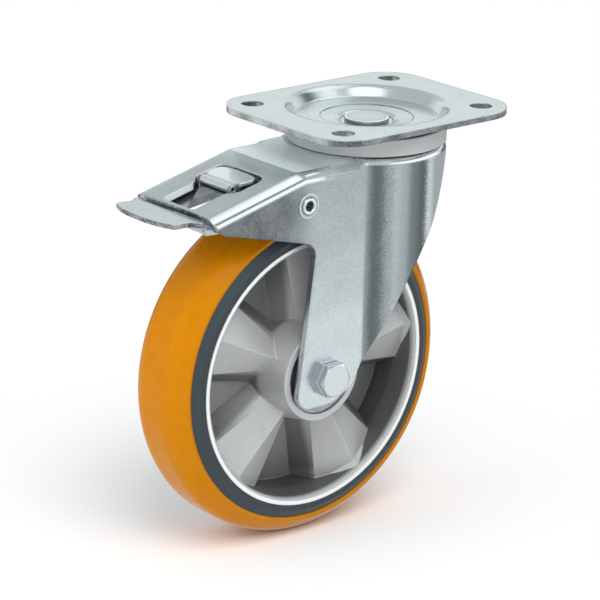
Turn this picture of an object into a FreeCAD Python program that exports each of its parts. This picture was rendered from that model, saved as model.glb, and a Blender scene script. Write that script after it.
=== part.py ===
import FreeCAD, Part
import math
import os
import re

import Sketcher

# Swivel castor with a total lock, in millimetres. The origin is the middle of the
# mounting plate's top face, on the swivel axis. +Z is up, -X is the pedal's side and
# -Y is the side of the axle bolt's head.

# Driving dimensions: name, value, meaning
SIZES = (
    ("wheel_clearance", 2, "tread below the brake lever's web"),
    ("swivel_offset", 55, "swivel axis to the wheel's axle"),
    ("fit", 0.05, "radial clearance of a running or sliding fit"),
    ("seat_gap", 0.3, "clearance between pieces that pass each other"),
    # mounting plate
    ("plate_length", 140, "plate along X"),
    ("plate_width", 114, "plate along Y"),
    ("plate_corner", 23, "plate corner radius"),
    ("plate_gauge", 4, "plate sheet thickness"),
    ("bolt_edge_long", 17.5, "fixing holes from the plate's ends"),
    ("bolt_edge_wide", 17, "fixing holes from the plate's long edges"),
    ("bolt_hole", 13, "fixing hole diameter"),
    ("dish_rim", 50, "radius where the dish meets the flat plate"),
    ("dish_lip", 47, "radius of the dish wall's upper corner"),
    ("dish_floor", 41.5, "radius of the dish wall's lower corner"),
    ("dish_depth", 6.6, "dish floor below the plate's top"),
    ("step_radius", 26.6, "radius of the step in the dish floor"),
    ("step_depth", 0.5, "height of that step"),
    ("seat_radius", 15.5, "radius of the flat seat under the kingpin's head"),
    ("seat_depth", 9.5, "that seat below the plate's top"),
    # kingpin and races
    ("pin_radius", 10, "kingpin shank"),
    ("pin_head_radius", 13, "kingpin upper head"),
    ("pin_head_height", 2.7, "kingpin upper head"),
    ("pin_collar_radius", 14, "kingpin collar between the races"),
    ("pin_foot_radius", 13.5, "riveted foot of the kingpin"),
    ("pin_foot_height", 3.8, "riveted foot of the kingpin"),
    ("ball_radius", 4.5, "balls of both swivel rows"),
    ("ball_fit", 0.05, "clearance round the swivel balls"),
    ("upper_row_radius", 36, "pitch radius of the upper balls"),
    ("lower_row_radius", 29.5, "pitch radius of the lower balls"),
    ("groove_depth", 0.9, "depth of each ball groove"),
    ("race_gauge", 3, "lower race thickness"),
    ("race_radius", 36, "lower race outside radius"),
    ("race_lip", 4, "height of the lower race's rim"),
    ("lock_ring_radius", 39, "toothed ring outside radius"),
    ("lock_ring_gauge", 3, "toothed ring thickness"),
    ("notch_depth", 5, "notches of the toothed ring"),
    ("notch_width", 5, "notches of the toothed ring"),
    ("cover_radius", 46.5, "outside radius of the race cover ring"),
    ("cover_wall", 1.8, "wall of the race cover ring"),
    ("cover_top", 9.2, "top edge of the cover ring below the plate's top"),
    ("cover_gap", 0.6, "gap between the cover ring and the fork"),
    # fork
    ("sheet_gauge", 4, "fork sheet thickness"),
    ("fork_width", 71, "outside width over the fork legs"),
    ("crown_radius", 46.5, "outside radius of the fork's round back"),
    ("neck_level", 20.8, "fork's flat top below the plate's top"),
    ("crown_rise", 2.8, "raised ball race above the fork's flat neck"),
    ("shoulder_rise", 1.6, "shoulder round that race above the flat neck"),
    ("shoulder_radius", 47.4, "edge of the shoulder on the neck's side"),
    ("shoulder_step", 0.8, "height of the shoulder's edge"),
    ("flare_radius", 61, "foot of the flare below the shoulder"),
    ("crown_hole", 19, "radius of the hole round the kingpin's collar"),
    ("crease_radius", 7, "outside radius of the creases beside the legs"),
    ("fold_radius", 7, "outside radius of the folded top edges of nose and neck"),
    ("crown_fold", 4.5, "outside radius of the fold round the back"),
    ("nose_reach", 139.5, "nose end from the swivel axis"),
    ("nose_bend", 75.5, "bend of the nose from the swivel axis"),
    ("nose_slope", 13.7, "slope of the nose in degrees"),
    ("nose_depth", 9.8, "depth of the side wall near the nose end"),
    ("back_wall", 7.6, "height of the short wall round the fork's back"),
    ("skirt_top_reach", 30.6, "skirt edge at the end of the short wall"),
    ("skirt_reach", 14.5, "skirt edge at its upper bend"),
    ("skirt_level", 61, "that bend below the plate's top"),
    ("leg_back_low", 27, "back edge of the leg at the end of the skirt"),
    ("leg_back_rise", 12, "that end above the axle"),
    ("leg_tip", 16.5, "leg below the axle"),
    ("leg_front", 23.2, "leg in front of the axle at its tip"),
    ("leg_back", 18.8, "leg behind the axle at its tip"),
    ("throat_reach", 65.3, "inner corner between nose and leg"),
    ("throat_level", 63.9, "the same corner below the plate's top"),
    ("window_front_width", 27.7, "window width at the nose end"),
    ("window_mid_width", 27.6, "window width before it widens"),
    ("window_back_width", 39.4, "window width round the tongue"),
    ("window_bridge", 2.1, "strip between window and nose end"),
    ("tongue_room", 2.4, "gap between the tongue and the window's back edge"),
    # wheel
    ("wheel_diameter", 200, "tread diameter"),
    ("rim_width", 49.6, "aluminium rim width"),
    ("rim_land", 2.1, "bright machined edge of the rim"),
    ("barrel_wall", 6.8, "rim's wall at the middle"),
    ("spoke_start", 26, "start of the spokes inside the hub wall"),
    ("mouth_wall", 3.7, "rim's wall at its mouth"),
    ("cushion_height", 8.4, "cushion ring on the rim"),
    ("cushion_width", 48.6, "cushion ring width"),
    ("cushion_flat", 3.8, "flat land of the cushion ring"),
    ("tread_width", 45.2, "tread width"),
    ("tread_height", 11.6, "tread on the cushion ring"),
    ("tread_wall", 9.5, "tread's side below its running face"),
    ("tread_flat", 26, "width between the tread's shoulder corners"),
    ("hub_width", 60, "hub length"),
    ("hub_radius", 27.5, "hub outside radius at its faces"),
    ("hub_root", 31, "hub outside radius at the web"),
    ("spoke_count", 5, "spokes on each side"),
    ("spoke_phase", 10.4, "angle of one near spoke above the horizontal, degrees"),
    ("ridge_height", 19.4, "spoke ridge from the wheel's middle plane, at the rim"),
    ("ridge_root", 21.2, "the same at the hub"),
    ("facet_height", 10.2, "edge of the spoke's roof, at the rim"),
    ("facet_root", 13.4, "the same at the hub"),
    ("pocket_floor", 4, "pocket floor past the middle plane, at the rim"),
    # bearings and axle
    ("bearing_radius", 23.5, "bearing outside radius"),
    ("bearing_bore", 10, "bearing bore radius"),
    ("bearing_width", 14, "bearing width"),
    ("bearing_inset", 1, "bearing face behind the hub face"),
    ("bearing_ball", 3.9, "bearing ball radius"),
    ("land_height", 4.2, "thickness of the bearing rings at their lands"),
    ("shield_gauge", 0.8, "bearing seal thickness"),
    ("axle_bolt_radius", 6, "axle bolt shank"),
    ("bolt_flats", 19, "axle bolt head and nut across flats"),
    ("bolt_head", 7.5, "axle bolt head height"),
    ("bolt_length", 90, "axle bolt under its head"),
    ("nut_height", 12, "locking nut height"),
    ("washer_radius", 12, "washer outside radius"),
    ("washer_gauge", 2.5, "washer thickness"),
    # brake
    ("pivot_reach", 72.7, "brake pivot from the swivel axis"),
    ("pivot_rise", 0.8, "brake pivot above the lever's web"),
    ("rivet_radius", 4.4, "hollow rivet shank"),
    ("rivet_bore", 2.8, "hollow rivet bore radius"),
    ("rivet_flange", 7.1, "hollow rivet flange radius"),
    ("rivet_wall", 0.6, "hollow rivet flange thickness"),
    ("rivet_lip", 1.1, "radius of the rolled lip round the rivet's bore"),
    ("pedal_gauge", 2.5, "brake lever sheet thickness"),
    ("pedal_width", 60.6, "outside width of the brake lever"),
    ("pedal_travel", 8, "brake lever travel in degrees"),
    ("lip_reach", 159.8, "corners of the pedal lip from the swivel axis"),
    ("lip_level", 37.8, "corners of the pedal lip below the plate's top"),
    ("lip_width", 52.8, "pedal lip over its corners"),
    ("lip_crown", 5.2, "bulge of the lip's front edge"),
    ("web_level", 40.5, "flat web of the lever below the plate's top"),
    ("lever_back", 41, "back end of the lever from the swivel axis"),
    ("knuckle_reach", 109.6, "tongue hinge from the swivel axis"),
    ("knuckle_level", 29, "tongue hinge below the plate's top"),
    ("knuckle_radius", 2.6, "rolled edge of the tongue"),
    ("knuckle_width", 24.6, "length of that rolled edge"),
    ("ear_gauge", 1.8, "lever's ears beside the rolled edge"),
    ("tongue_pin_radius", 1.6, "hollow pin in the rolled edge"),
    ("tongue_pin_bore", 1.1, "bore radius of that pin"),
    ("tongue_length", 17.4, "tongue from its hinge to its back end"),
    ("tongue_width", 33, "tongue width"),
    ("tongue_gauge", 2.2, "tongue sheet thickness"),
    ("shoe_length", 17, "brake shoe along the tread"),
    ("shoe_width", 38, "brake shoe across the tread"),
    ("shoe_setback", 12.6, "brake shoe behind the tongue's hinge"),
    ("tooth_gauge", 3.2, "lock tooth thickness"),
    ("tooth_length", 9.5, "lock tooth along X"),
    ("tooth_rise", 2.8, "lock tooth above the lever's web"),
    ("spring_gauge", 0.8, "brake spring thickness"),
    ("spring_width", 14, "brake spring width"),
)

# Places worked out from the driving dimensions
PLACES = {
    "total_height": "web_level + pedal_gauge + wheel_clearance + wheel_diameter",
    "bolt_pitch_long": "plate_length - bolt_edge_long * 2",
    "bolt_pitch_wide": "plate_width - bolt_edge_wide * 2",
    "cushion_radius": "wheel_diameter / 2 - tread_height",
    "tread_side": "wheel_diameter / 2 - tread_wall",
    "rim_radius": "cushion_radius - cushion_height",
    "barrel_radius": "rim_radius - barrel_wall",
    "barrel_mouth": "rim_radius - mouth_wall",
    "tongue_reach": "knuckle_reach - tongue_length",
    "window_back": "tongue_reach - tongue_room",
    "shoe_back": "knuckle_reach - shoe_setback - shoe_length",
    "wheel_x": "-swivel_offset",
    "wheel_z": "wheel_diameter / 2 - total_height",
    "half_fork": "fork_width / 2",
    "half_inside": "fork_width / 2 - sheet_gauge",
    "neck_z": "-neck_level",
    "crown_z": "crown_rise - neck_level",
    "shoulder_z": "shoulder_rise - neck_level",
    "upper_ball_z": "-dish_depth - plate_gauge + groove_depth - ball_radius - ball_fit",
    "crown_under_z": "crown_z - sheet_gauge",
    "lower_ball_z": "crown_under_z + groove_depth - ball_radius - ball_fit",
    "race_z": "lower_ball_z - ball_radius - ball_fit + groove_depth",
    "lock_ring_z": "race_z - race_gauge",
    "foot_z": "lock_ring_z - lock_ring_gauge",
    "nose_end_z": "neck_z - (nose_reach - nose_bend) * tan(nose_slope * 1 deg)",
    "bearing_out": "hub_width / 2 - bearing_inset",
    "bearing_in": "hub_width / 2 - bearing_inset - bearing_width",
    "bearing_pitch": "(bearing_radius + bearing_bore) / 2",
    "pivot_x": "-pivot_reach",
    "pivot_z": "pivot_rise - web_level",
    "web_z": "-web_level",
    "half_pedal": "pedal_width / 2",
    "arm_inside": "pedal_width / 2 - pedal_gauge",
    "knuckle_x": "-knuckle_reach",
    "knuckle_z": "-knuckle_level",
}

NAMES = {name for name, _, _ in SIZES}
UPPER_BALLS = 24
LOWER_BALLS = 20
BEARING_BALLS = 8
LOCK_NOTCHES = 24

doc = FreeCAD.newDocument("SwivelCastor")
sheet = doc.addObject("Spreadsheet::Sheet", "Sizes")
for row, (name, number, meaning) in enumerate(SIZES, start=1):
    sheet.set(f"A{row}", name)
    sheet.set(f"B{row}", str(number))
    sheet.setAlias(f"B{row}", name)
    sheet.set(f"C{row}", meaning)
doc.recompute()

pieces = []


def tied(text):
    """Write plain names of sizes and places as references to the sheet's cells."""
    def swap(word):
        name = word.group()
        if name in PLACES:
            return f"({tied(PLACES[name])})"
        return f"Sizes.{name}" if name in NAMES else name
    return re.sub(r"[a-z_]+", swap, str(text))


def value(text):
    """The number that an expression of sizes gives now."""
    found = sheet.evalExpression(tied(text))
    return float(getattr(found, "Value", found))


def bind(thing, **formulas):
    """Tie properties of an object to expressions of sizes."""
    for name, text in formulas.items():
        thing.setExpression(name.replace("__", "."), tied(text))


def place(thing, x=0, y=0, z=0):
    """Tie an object's position to expressions of sizes."""
    bind(thing, Placement__Base__x=x, Placement__Base__y=y, Placement__Base__z=z)


def body_named(label, x=0, y=0, z=0):
    """A new body, which becomes a piece of its own."""
    body = doc.addObject("PartDesign::Body", label)
    body.Label = label
    place(body, x, y, z)
    pieces.append(body)
    return body


def attached(owner, name, role, lift=None):
    """A sketch on one of the owner's origin planes, or on a plane of the whole document."""
    if owner is None:
        sketch = doc.addObject("Sketcher::SketchObject", name)
        turned = {"XY": (0, 0, 0), "XZ": (0, 0, 90), "YZ": (90, 0, 90)}[role]
        sketch.Placement = FreeCAD.Placement(FreeCAD.Vector(), FreeCAD.Rotation(*turned))
        return sketch
    sketch = owner.newObject("Sketcher::SketchObject", name)
    planes = owner.Origin.OriginFeatures
    plane = next(item for item in planes if item.Role == f"{role}_Plane")
    sketch.AttachmentSupport = [(plane, "")]
    sketch.MapMode = "FlatFace"
    if lift is not None:
        sketch.setExpression("AttachmentOffset.Base.z", tied(lift))
    return sketch


def fix_point(sketch, geometry, end, across, up):
    """Dimension one point of a sketch from its origin."""
    for kind, text in (("DistanceX", across), ("DistanceY", up)):
        rule = Sketcher.Constraint(kind, -1, 1, geometry, end, value(text))
        index = sketch.addConstraint(rule)
        sketch.setExpression(f"Constraints[{index}]", tied(text))


def rounded(before, corner, after, radius):
    """Tangent points and middle of the arc that rounds one corner of a polygon."""
    back = (before - corner).normalize()
    ahead = (after - corner).normalize()
    half = back.getAngle(ahead) / 2
    reach = radius / math.tan(half)
    centre = corner + (back + ahead).normalize() * (radius / math.sin(half))
    middle = centre + (corner - centre).normalize() * radius
    return corner + back * reach, middle, corner + ahead * reach


def outline(sketch, corners):
    """A closed outline through corners (across, up) or (across, up, rounding radius)."""
    points = [FreeCAD.Vector(value(c[0]), value(c[1]), 0) for c in corners]
    count = len(corners)
    arcs = []
    for i, corner in enumerate(corners):
        if len(corner) == 3:
            arcs.append(rounded(points[i - 1], points[i], points[(i + 1) % count], value(corner[2])))
        else:
            arcs.append((points[i], None, points[i]))
    lines = []
    for i in range(count):
        run = Part.LineSegment(arcs[i][2], arcs[(i + 1) % count][0])
        lines.append(sketch.addGeometry(run))
    for i, corner in enumerate(corners):
        before, after = lines[i - 1], lines[i]
        first, middle, last = arcs[i]
        if middle is None:
            sketch.addConstraint(Sketcher.Constraint("Coincident", before, 2, after, 1))
            fix_point(sketch, after, 1, corner[0], corner[1])
            continue
        turn = (middle - first).cross(last - middle).z
        ends = (first, middle, last) if turn > 0 else (last, middle, first)
        arc = sketch.addGeometry(Part.Arc(*ends))
        near = 1 if (sketch.Geometry[arc].StartPoint - first).Length < 1e-6 else 2
        sketch.addConstraint(Sketcher.Constraint("Tangent", before, 2, arc, near))
        sketch.addConstraint(Sketcher.Constraint("Tangent", after, 1, arc, 3 - near))
        radius = sketch.addConstraint(Sketcher.Constraint("Radius", arc, value(corner[2])))
        sketch.setExpression(f"Constraints[{radius}]", tied(corner[2]))
        point = sketch.addGeometry(Part.Point(points[i]), True)
        sketch.addConstraint(Sketcher.Constraint("PointOnObject", point, 1, before))
        sketch.addConstraint(Sketcher.Constraint("PointOnObject", point, 1, after))
        fix_point(sketch, point, 1, corner[0], corner[1])
    return sketch


def circles(sketch, places):
    """Full circles, each given as (across, up, radius)."""
    for across, up, radius in places:
        centre = FreeCAD.Vector(value(across), value(up), 0)
        ring = sketch.addGeometry(Part.Circle(centre, FreeCAD.Vector(0, 0, 1), value(radius)))
        fix_point(sketch, ring, 3, across, up)
        index = sketch.addConstraint(Sketcher.Constraint("Radius", ring, value(radius)))
        sketch.setExpression(f"Constraints[{index}]", tied(radius))
    return sketch


def mirrored(corners):
    """Corners on one side of the second axis, followed by their mirror images."""
    return list(corners) + [(f"-({c[0]})",) + tuple(c[1:]) for c in reversed(corners)]


def facing(corners):
    """Corners above the first axis, followed by their mirror images below it."""
    return list(corners) + [(c[0], f"-({c[1]})") + tuple(c[2:]) for c in reversed(corners)]


def pad(body, sketch, length, side="One side", backwards=False):
    """Pad a sketch by a length tied to the sheet."""
    feature = body.newObject("PartDesign::Pad", f"Pad{sketch.Name}")
    feature.Profile = sketch
    feature.SideType = side
    feature.Reversed = backwards
    bind(feature, Length=length)
    return feature


def pocket(body, sketch, name):
    """Cut a sketch through the whole body, both ways from its plane."""
    feature = body.newObject("PartDesign::Pocket", name)
    feature.Profile = sketch
    feature.SideType = "Symmetric"
    feature.Type = "ThroughAll"
    return feature


def turned(body, corners, name, plane="XZ", cut=False):
    """Revolve an outline of (radius, height) about the sketch's upright axis."""
    sketch = outline(attached(body, f"{name}Outline", plane), corners)
    kind = "PartDesign::Groove" if cut else "PartDesign::Revolution"
    feature = body.newObject(kind, name)
    feature.Profile = sketch
    feature.ReferenceAxis = (sketch, ["V_Axis"])
    feature.Angle = 360
    return feature


def groove_ring(body, row_radius, height, radius, name, plane="XZ"):
    """Cut a ball groove: a circle carried round the axis."""
    sketch = circles(attached(body, f"{name}Circle", plane), [(row_radius, height, radius)])
    feature = body.newObject("PartDesign::Groove", name)
    feature.Profile = sketch
    feature.ReferenceAxis = (sketch, ["V_Axis"])
    feature.Angle = 360
    return feature


def repeated(body, features, role, count):
    """Repeat features evenly round one of the body's own axes."""
    pattern = body.newObject("PartDesign::PolarPattern", f"{features[0].Name}Pattern")
    pattern.Originals = features
    axes = body.Origin.OriginFeatures
    pattern.Axis = (next(item for item in axes if item.Role == f"{role}_Axis"), [""])
    pattern.Angle = 360
    if isinstance(count, str):
        bind(pattern, Occurrences=count)
    else:
        pattern.Occurrences = count
    body.Tip = pattern
    return pattern


def prism(name, role, corners, length, symmetric=True):
    """A straight block with the given outline, outside any body."""
    sketch = outline(attached(None, f"{name}Outline", role), corners)
    solid = doc.addObject("Part::Extrusion", name)
    solid.Base = sketch
    solid.DirMode = "Normal"
    solid.Solid = True
    solid.Symmetric = symmetric
    bind(solid, LengthFwd=length)
    return solid


def block(name, low, high):
    """A box between two corners given as expressions."""
    solid = doc.addObject("Part::Box", name)
    place(solid, *low)
    for side, a, b in zip(("Length", "Width", "Height"), low, high):
        bind(solid, **{side: f"({b}) - ({a})"})
    return solid


def post(name, radius, low, high, x=0, y=0):
    """An upright cylinder between two heights."""
    solid = doc.addObject("Part::Cylinder", name)
    bind(solid, Radius=radius, Height=f"({high}) - ({low})")
    place(solid, x, y, low)
    return solid


def bar(name, radius, near, far, x=0, z=0):
    """A cylinder along Y between two places."""
    solid = doc.addObject("Part::Cylinder", name)
    solid.Placement.Rotation = FreeCAD.Rotation(FreeCAD.Vector(1, 0, 0), -90)
    bind(solid, Radius=radius, Height=f"({far}) - ({near})")
    place(solid, x, near, z)
    return solid


def fused(name, parts):
    """Join solids."""
    solid = doc.addObject("Part::MultiFuse", name)
    solid.Shapes = parts
    solid.Refine = True
    return solid


def shared(name, parts):
    """Keep what two solids have in common."""
    solid = doc.addObject("Part::MultiCommon", name)
    solid.Shapes = parts
    solid.Refine = True
    return solid


def cut(name, base, tool):
    """Take one solid out of another."""
    solid = doc.addObject("Part::Cut", name)
    solid.Base = base
    solid.Tool = tool
    solid.Refine = True
    return solid


def softened(name, base, radius, chosen):
    """Round the edges of a solid that a test picks."""
    doc.recompute()
    solid = doc.addObject("Part::Fillet", name)
    solid.Base = base
    size = value(radius)
    edges = enumerate(base.Shape.Edges, start=1)
    solid.Edges = [(index, size, size) for index, edge in edges if chosen(edge)]
    return solid


def piece(solid, label):
    """Make a finished solid a piece of the castor."""
    solid.Label = label
    pieces.append(solid)
    return solid


def group(shapes, label):
    """A row of like solids that share one node."""
    feature = doc.addObject("Part::Feature", label)
    feature.Label = label
    feature.Shape = Part.makeCompound(shapes)
    pieces.append(feature)
    return feature


def ball_row(label, count, row_radius, height, radius, upright=True, centre=(0, 0, 0)):
    """Balls spaced evenly on a circle about Z, or about Y when not upright."""
    balls = []
    for index in range(count):
        angle = 2 * math.pi * index / count
        a, b = row_radius * math.cos(angle), row_radius * math.sin(angle)
        spot = FreeCAD.Vector(a, b, height) if upright else FreeCAD.Vector(a, height, b)
        balls.append(Part.makeSphere(radius, spot + FreeCAD.Vector(*centre)))
    return group(balls, label)


def mounting_plate():
    """Pressed plate: a flat with four holes and a round dish that carries the swivel."""
    body = body_named("top_plate")
    flat = outline(attached(body, "PlateOutline", "XY"), [
        ("plate_length / 2", "plate_width / 2", "plate_corner"),
        ("-plate_length / 2", "plate_width / 2", "plate_corner"),
        ("-plate_length / 2", "-plate_width / 2", "plate_corner"),
        ("plate_length / 2", "-plate_width / 2", "plate_corner"),
    ])
    pad(body, flat, "plate_gauge", backwards=True)
    opening = circles(attached(body, "DishOpening", "XY"), [("0", "0", "dish_rim")])
    pocket(body, opening, "DishCut")
    floor, under = "-dish_depth", "-dish_depth - plate_gauge"
    seat, seat_under = "-seat_depth", "-seat_depth - plate_gauge"
    hole = "pin_radius + fit"
    turned(body, [
        ("dish_rim", "0"),
        ("dish_lip", "0", "plate_gauge + 1"),
        ("dish_floor", floor, "plate_gauge * 0.6"),
        ("step_radius + step_depth", floor),
        ("step_radius", f"{floor} - step_depth"),
        ("seat_radius + 3", f"{seat} + 1.6", "plate_gauge"),
        ("seat_radius", seat, "plate_gauge * 0.4"),
        (hole, seat),
        (hole, seat_under),
        ("seat_radius + 1.5", seat_under),
        ("seat_radius + 5", f"{seat_under} + 1.8"),
        ("step_radius + 3", under),
        ("dish_floor + 1.9", under, "plate_gauge * 1.5"),
        ("dish_lip + 1.7", "-plate_gauge", "plate_gauge * 0.3"),
        ("dish_rim", "-plate_gauge"),
    ], "Dish")
    groove_ring(body, "upper_row_radius", "upper_ball_z", "ball_radius + ball_fit", "UpperRace")
    across, up = "bolt_pitch_long / 2", "bolt_pitch_wide / 2"
    spots = [(f"{a}{across}", f"{b}{up}", "bolt_hole / 2") for a in ("", "-") for b in ("", "-")]
    pocket(body, circles(attached(body, "BoltHoles", "XY"), spots), "BoltHoleCut")


def kingpin():
    """Riveted kingpin: head in the dish, collar between the races, foot under the lock ring."""
    seat, collar_top = "-seat_depth", "-seat_depth - plate_gauge"
    body = body_named("kingpin")
    turned(body, [
        ("0", f"{seat} + pin_head_height"),
        ("pin_head_radius", f"{seat} + pin_head_height", "0.9"),
        ("pin_head_radius", seat),
        ("pin_radius", seat),
        ("pin_radius", collar_top),
        ("pin_collar_radius", collar_top),
        ("pin_collar_radius", "race_z"),
        ("pin_radius", "race_z"),
        ("pin_radius", "foot_z"),
        ("pin_foot_radius", "foot_z"),
        ("pin_foot_radius", "foot_z - pin_foot_height", "1.5"),
        ("0", "foot_z - pin_foot_height"),
    ], "Pin")


def race_cover():
    """Plain ring that covers the upper balls; its flange seats under the dish."""
    inner = "cover_radius - cover_wall"
    under = "-dish_depth - plate_gauge"
    lip = "dish_floor - 1.3"
    body = body_named("race_cover_ring")
    turned(body, [
        (lip, under),
        ("dish_floor + 1.7", under),
        ("cover_radius - 1.1", "-cover_top"),
        ("cover_radius", "-cover_top", "0.6"),
        ("cover_radius", "shoulder_z + cover_gap"),
        (inner, "shoulder_z + cover_gap"),
        (inner, f"{under} - 1.4"),
        (lip, f"{under} - 1.4"),
    ], "Cover")


def lower_race():
    """Dished disc under the fork's crown that the lower balls run on."""
    hole = "pin_radius + fit"
    body = body_named("lower_race")
    turned(body, [
        (hole, "race_z"),
        ("race_radius - 1.4", "race_z"),
        ("race_radius - 1.4", "race_z + race_lip"),
        ("race_radius", "race_z + race_lip"),
        ("race_radius", "lock_ring_z", "0.8"),
        (hole, "lock_ring_z"),
    ], "Race")
    groove_ring(body, "lower_row_radius", "lower_ball_z", "ball_radius + ball_fit", "LowerRace")


def lock_ring():
    """Toothed ring on the kingpin that the lock tooth enters."""
    body = body_named("lock_ring")
    turned(body, [
        ("pin_radius + fit", "lock_ring_z"),
        ("lock_ring_radius", "lock_ring_z"),
        ("lock_ring_radius", "foot_z"),
        ("pin_radius + fit", "foot_z"),
    ], "Ring")
    notch = outline(attached(body, "NotchOutline", "XY"), [
        ("-lock_ring_radius - 2", "notch_width / 2"),
        ("-lock_ring_radius - 2", "-notch_width / 2"),
        ("-lock_ring_radius + notch_depth", "-notch_width / 2", "1"),
        ("-lock_ring_radius + notch_depth", "notch_width / 2", "1"),
    ])
    repeated(body, [pocket(body, notch, "Notch")], "Z", LOCK_NOTCHES)


def is_upright(edge):
    """True for a straight edge along Z."""
    if not isinstance(edge.Curve, Part.Line):
        return False
    return abs(edge.Curve.Direction.z) > 0.999


def plan_of_fork(name, half_width, radius, crease, top, front):
    """Upright block with the fork's plan: flat sides that meet a round back in a crease."""
    deep = "total_height"
    flats = block(f"{name}Flats", (front, f"-({half_width})", f"-{deep}"), ("0", half_width, top))
    back = post(f"{name}Back", radius, f"-{deep}", top)
    joined = fused(f"{name}Joined", [flats, back])
    corner_x = -math.sqrt(value(radius) ** 2 - value(half_width) ** 2)

    def in_crease(edge):
        return is_upright(edge) and abs(edge.Vertexes[0].X - corner_x) < 0.01

    return softened(f"{name}Creased", joined, crease, in_crease)


def nose_and_neck(name, drop, width, back):
    """Block under the nose's slope and the flat neck; drop lowers it for the inside."""
    slope = "tan(nose_slope * 1 deg)"
    bend = f"-nose_bend + ({drop}) * tan(nose_slope * 0.5 deg)"
    front = "-nose_reach - 10"
    level = f"neck_z - ({drop})"
    return prism(name, "XZ", [
        (front, f"{level} - ({bend} + nose_reach + 10) * {slope}"),
        (bend, level, "14"),
        (back, level),
        (back, "-total_height"),
        (front, "-total_height"),
    ], width)


def side_of_fork():
    """Side view of the fork below its top: nose end, throat, leg and skirt."""
    low = "wheel_z - leg_tip"
    short_wall = "shoulder_z - back_wall"
    return prism("ForkSideView", "XZ", [
        ("-nose_reach", "0"),
        ("crown_radius * 2", "0"),
        ("crown_radius * 2", short_wall),
        ("skirt_top_reach", short_wall, "2"),
        ("skirt_reach", "-skirt_level", "60"),
        ("skirt_reach - 18", "-skirt_level - 28.2", "60"),
        ("-leg_back_low", "wheel_z + leg_back_rise", "30"),
        ("wheel_x + leg_back", f"{low} + 8", "9"),
        ("wheel_x + 4", low, "22"),
        ("wheel_x - leg_front", low, "9"),
        ("-throat_reach", "-throat_level", "9"),
        ("-nose_reach + 6", "nose_end_z - nose_depth", "5"),
        ("-nose_reach", "nose_end_z - nose_depth / 4", "2"),
    ], "crown_radius * 2 + 10")


def folded_edges(top, half_width):
    """Test for the edges round a block's top and slope, which are folded over."""
    level, reach, depth = value(top), value(half_width), value("neck_level") * 2

    def chosen(edge):
        box = edge.BoundBox
        if box.XLength < 0.01 or box.ZMax > level + 0.01:
            return False
        flat = level - box.ZMin < 0.01
        side = box.YLength < 0.01 and abs(abs(box.YMax) - reach) < 0.01
        return flat or (side and level - box.ZMin < depth)

    return chosen


def flare():
    """Raised shoulder on the neck beside the cover ring, and the flare below it."""
    rim_z = "shoulder_z - shoulder_step"
    upper = doc.addObject("Part::Cone", "FlareUpper")
    bind(upper, Radius1="flare_radius", Radius2="shoulder_radius + shoulder_step", Height=f"{rim_z} - neck_z")
    place(upper, 0, 0, "neck_z")
    lower = doc.addObject("Part::Cone", "FlareLower")
    bind(lower, Radius1="flare_radius * 1.15", Radius2="flare_radius", Height="sheet_gauge * 1.3")
    place(lower, 0, 0, "neck_z - sheet_gauge * 1.3")
    step = doc.addObject("Part::Cone", "ShoulderStep")
    bind(step, Radius1="shoulder_radius + shoulder_step", Radius2="shoulder_radius", Height="shoulder_step")
    place(step, 0, 0, rim_z)
    roof = block("FlareRoof", ("-nose_bend", "-half_fork", "-neck_level * 2"),
                 ("-crown_radius * 0.7", "half_fork", "shoulder_z"))
    folded = softened("FlareFolded", roof, "fold_radius", folded_edges("shoulder_z", "half_fork"))
    return shared("Flare", [fused("FlareCones", [upper, lower, step]), folded])


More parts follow.
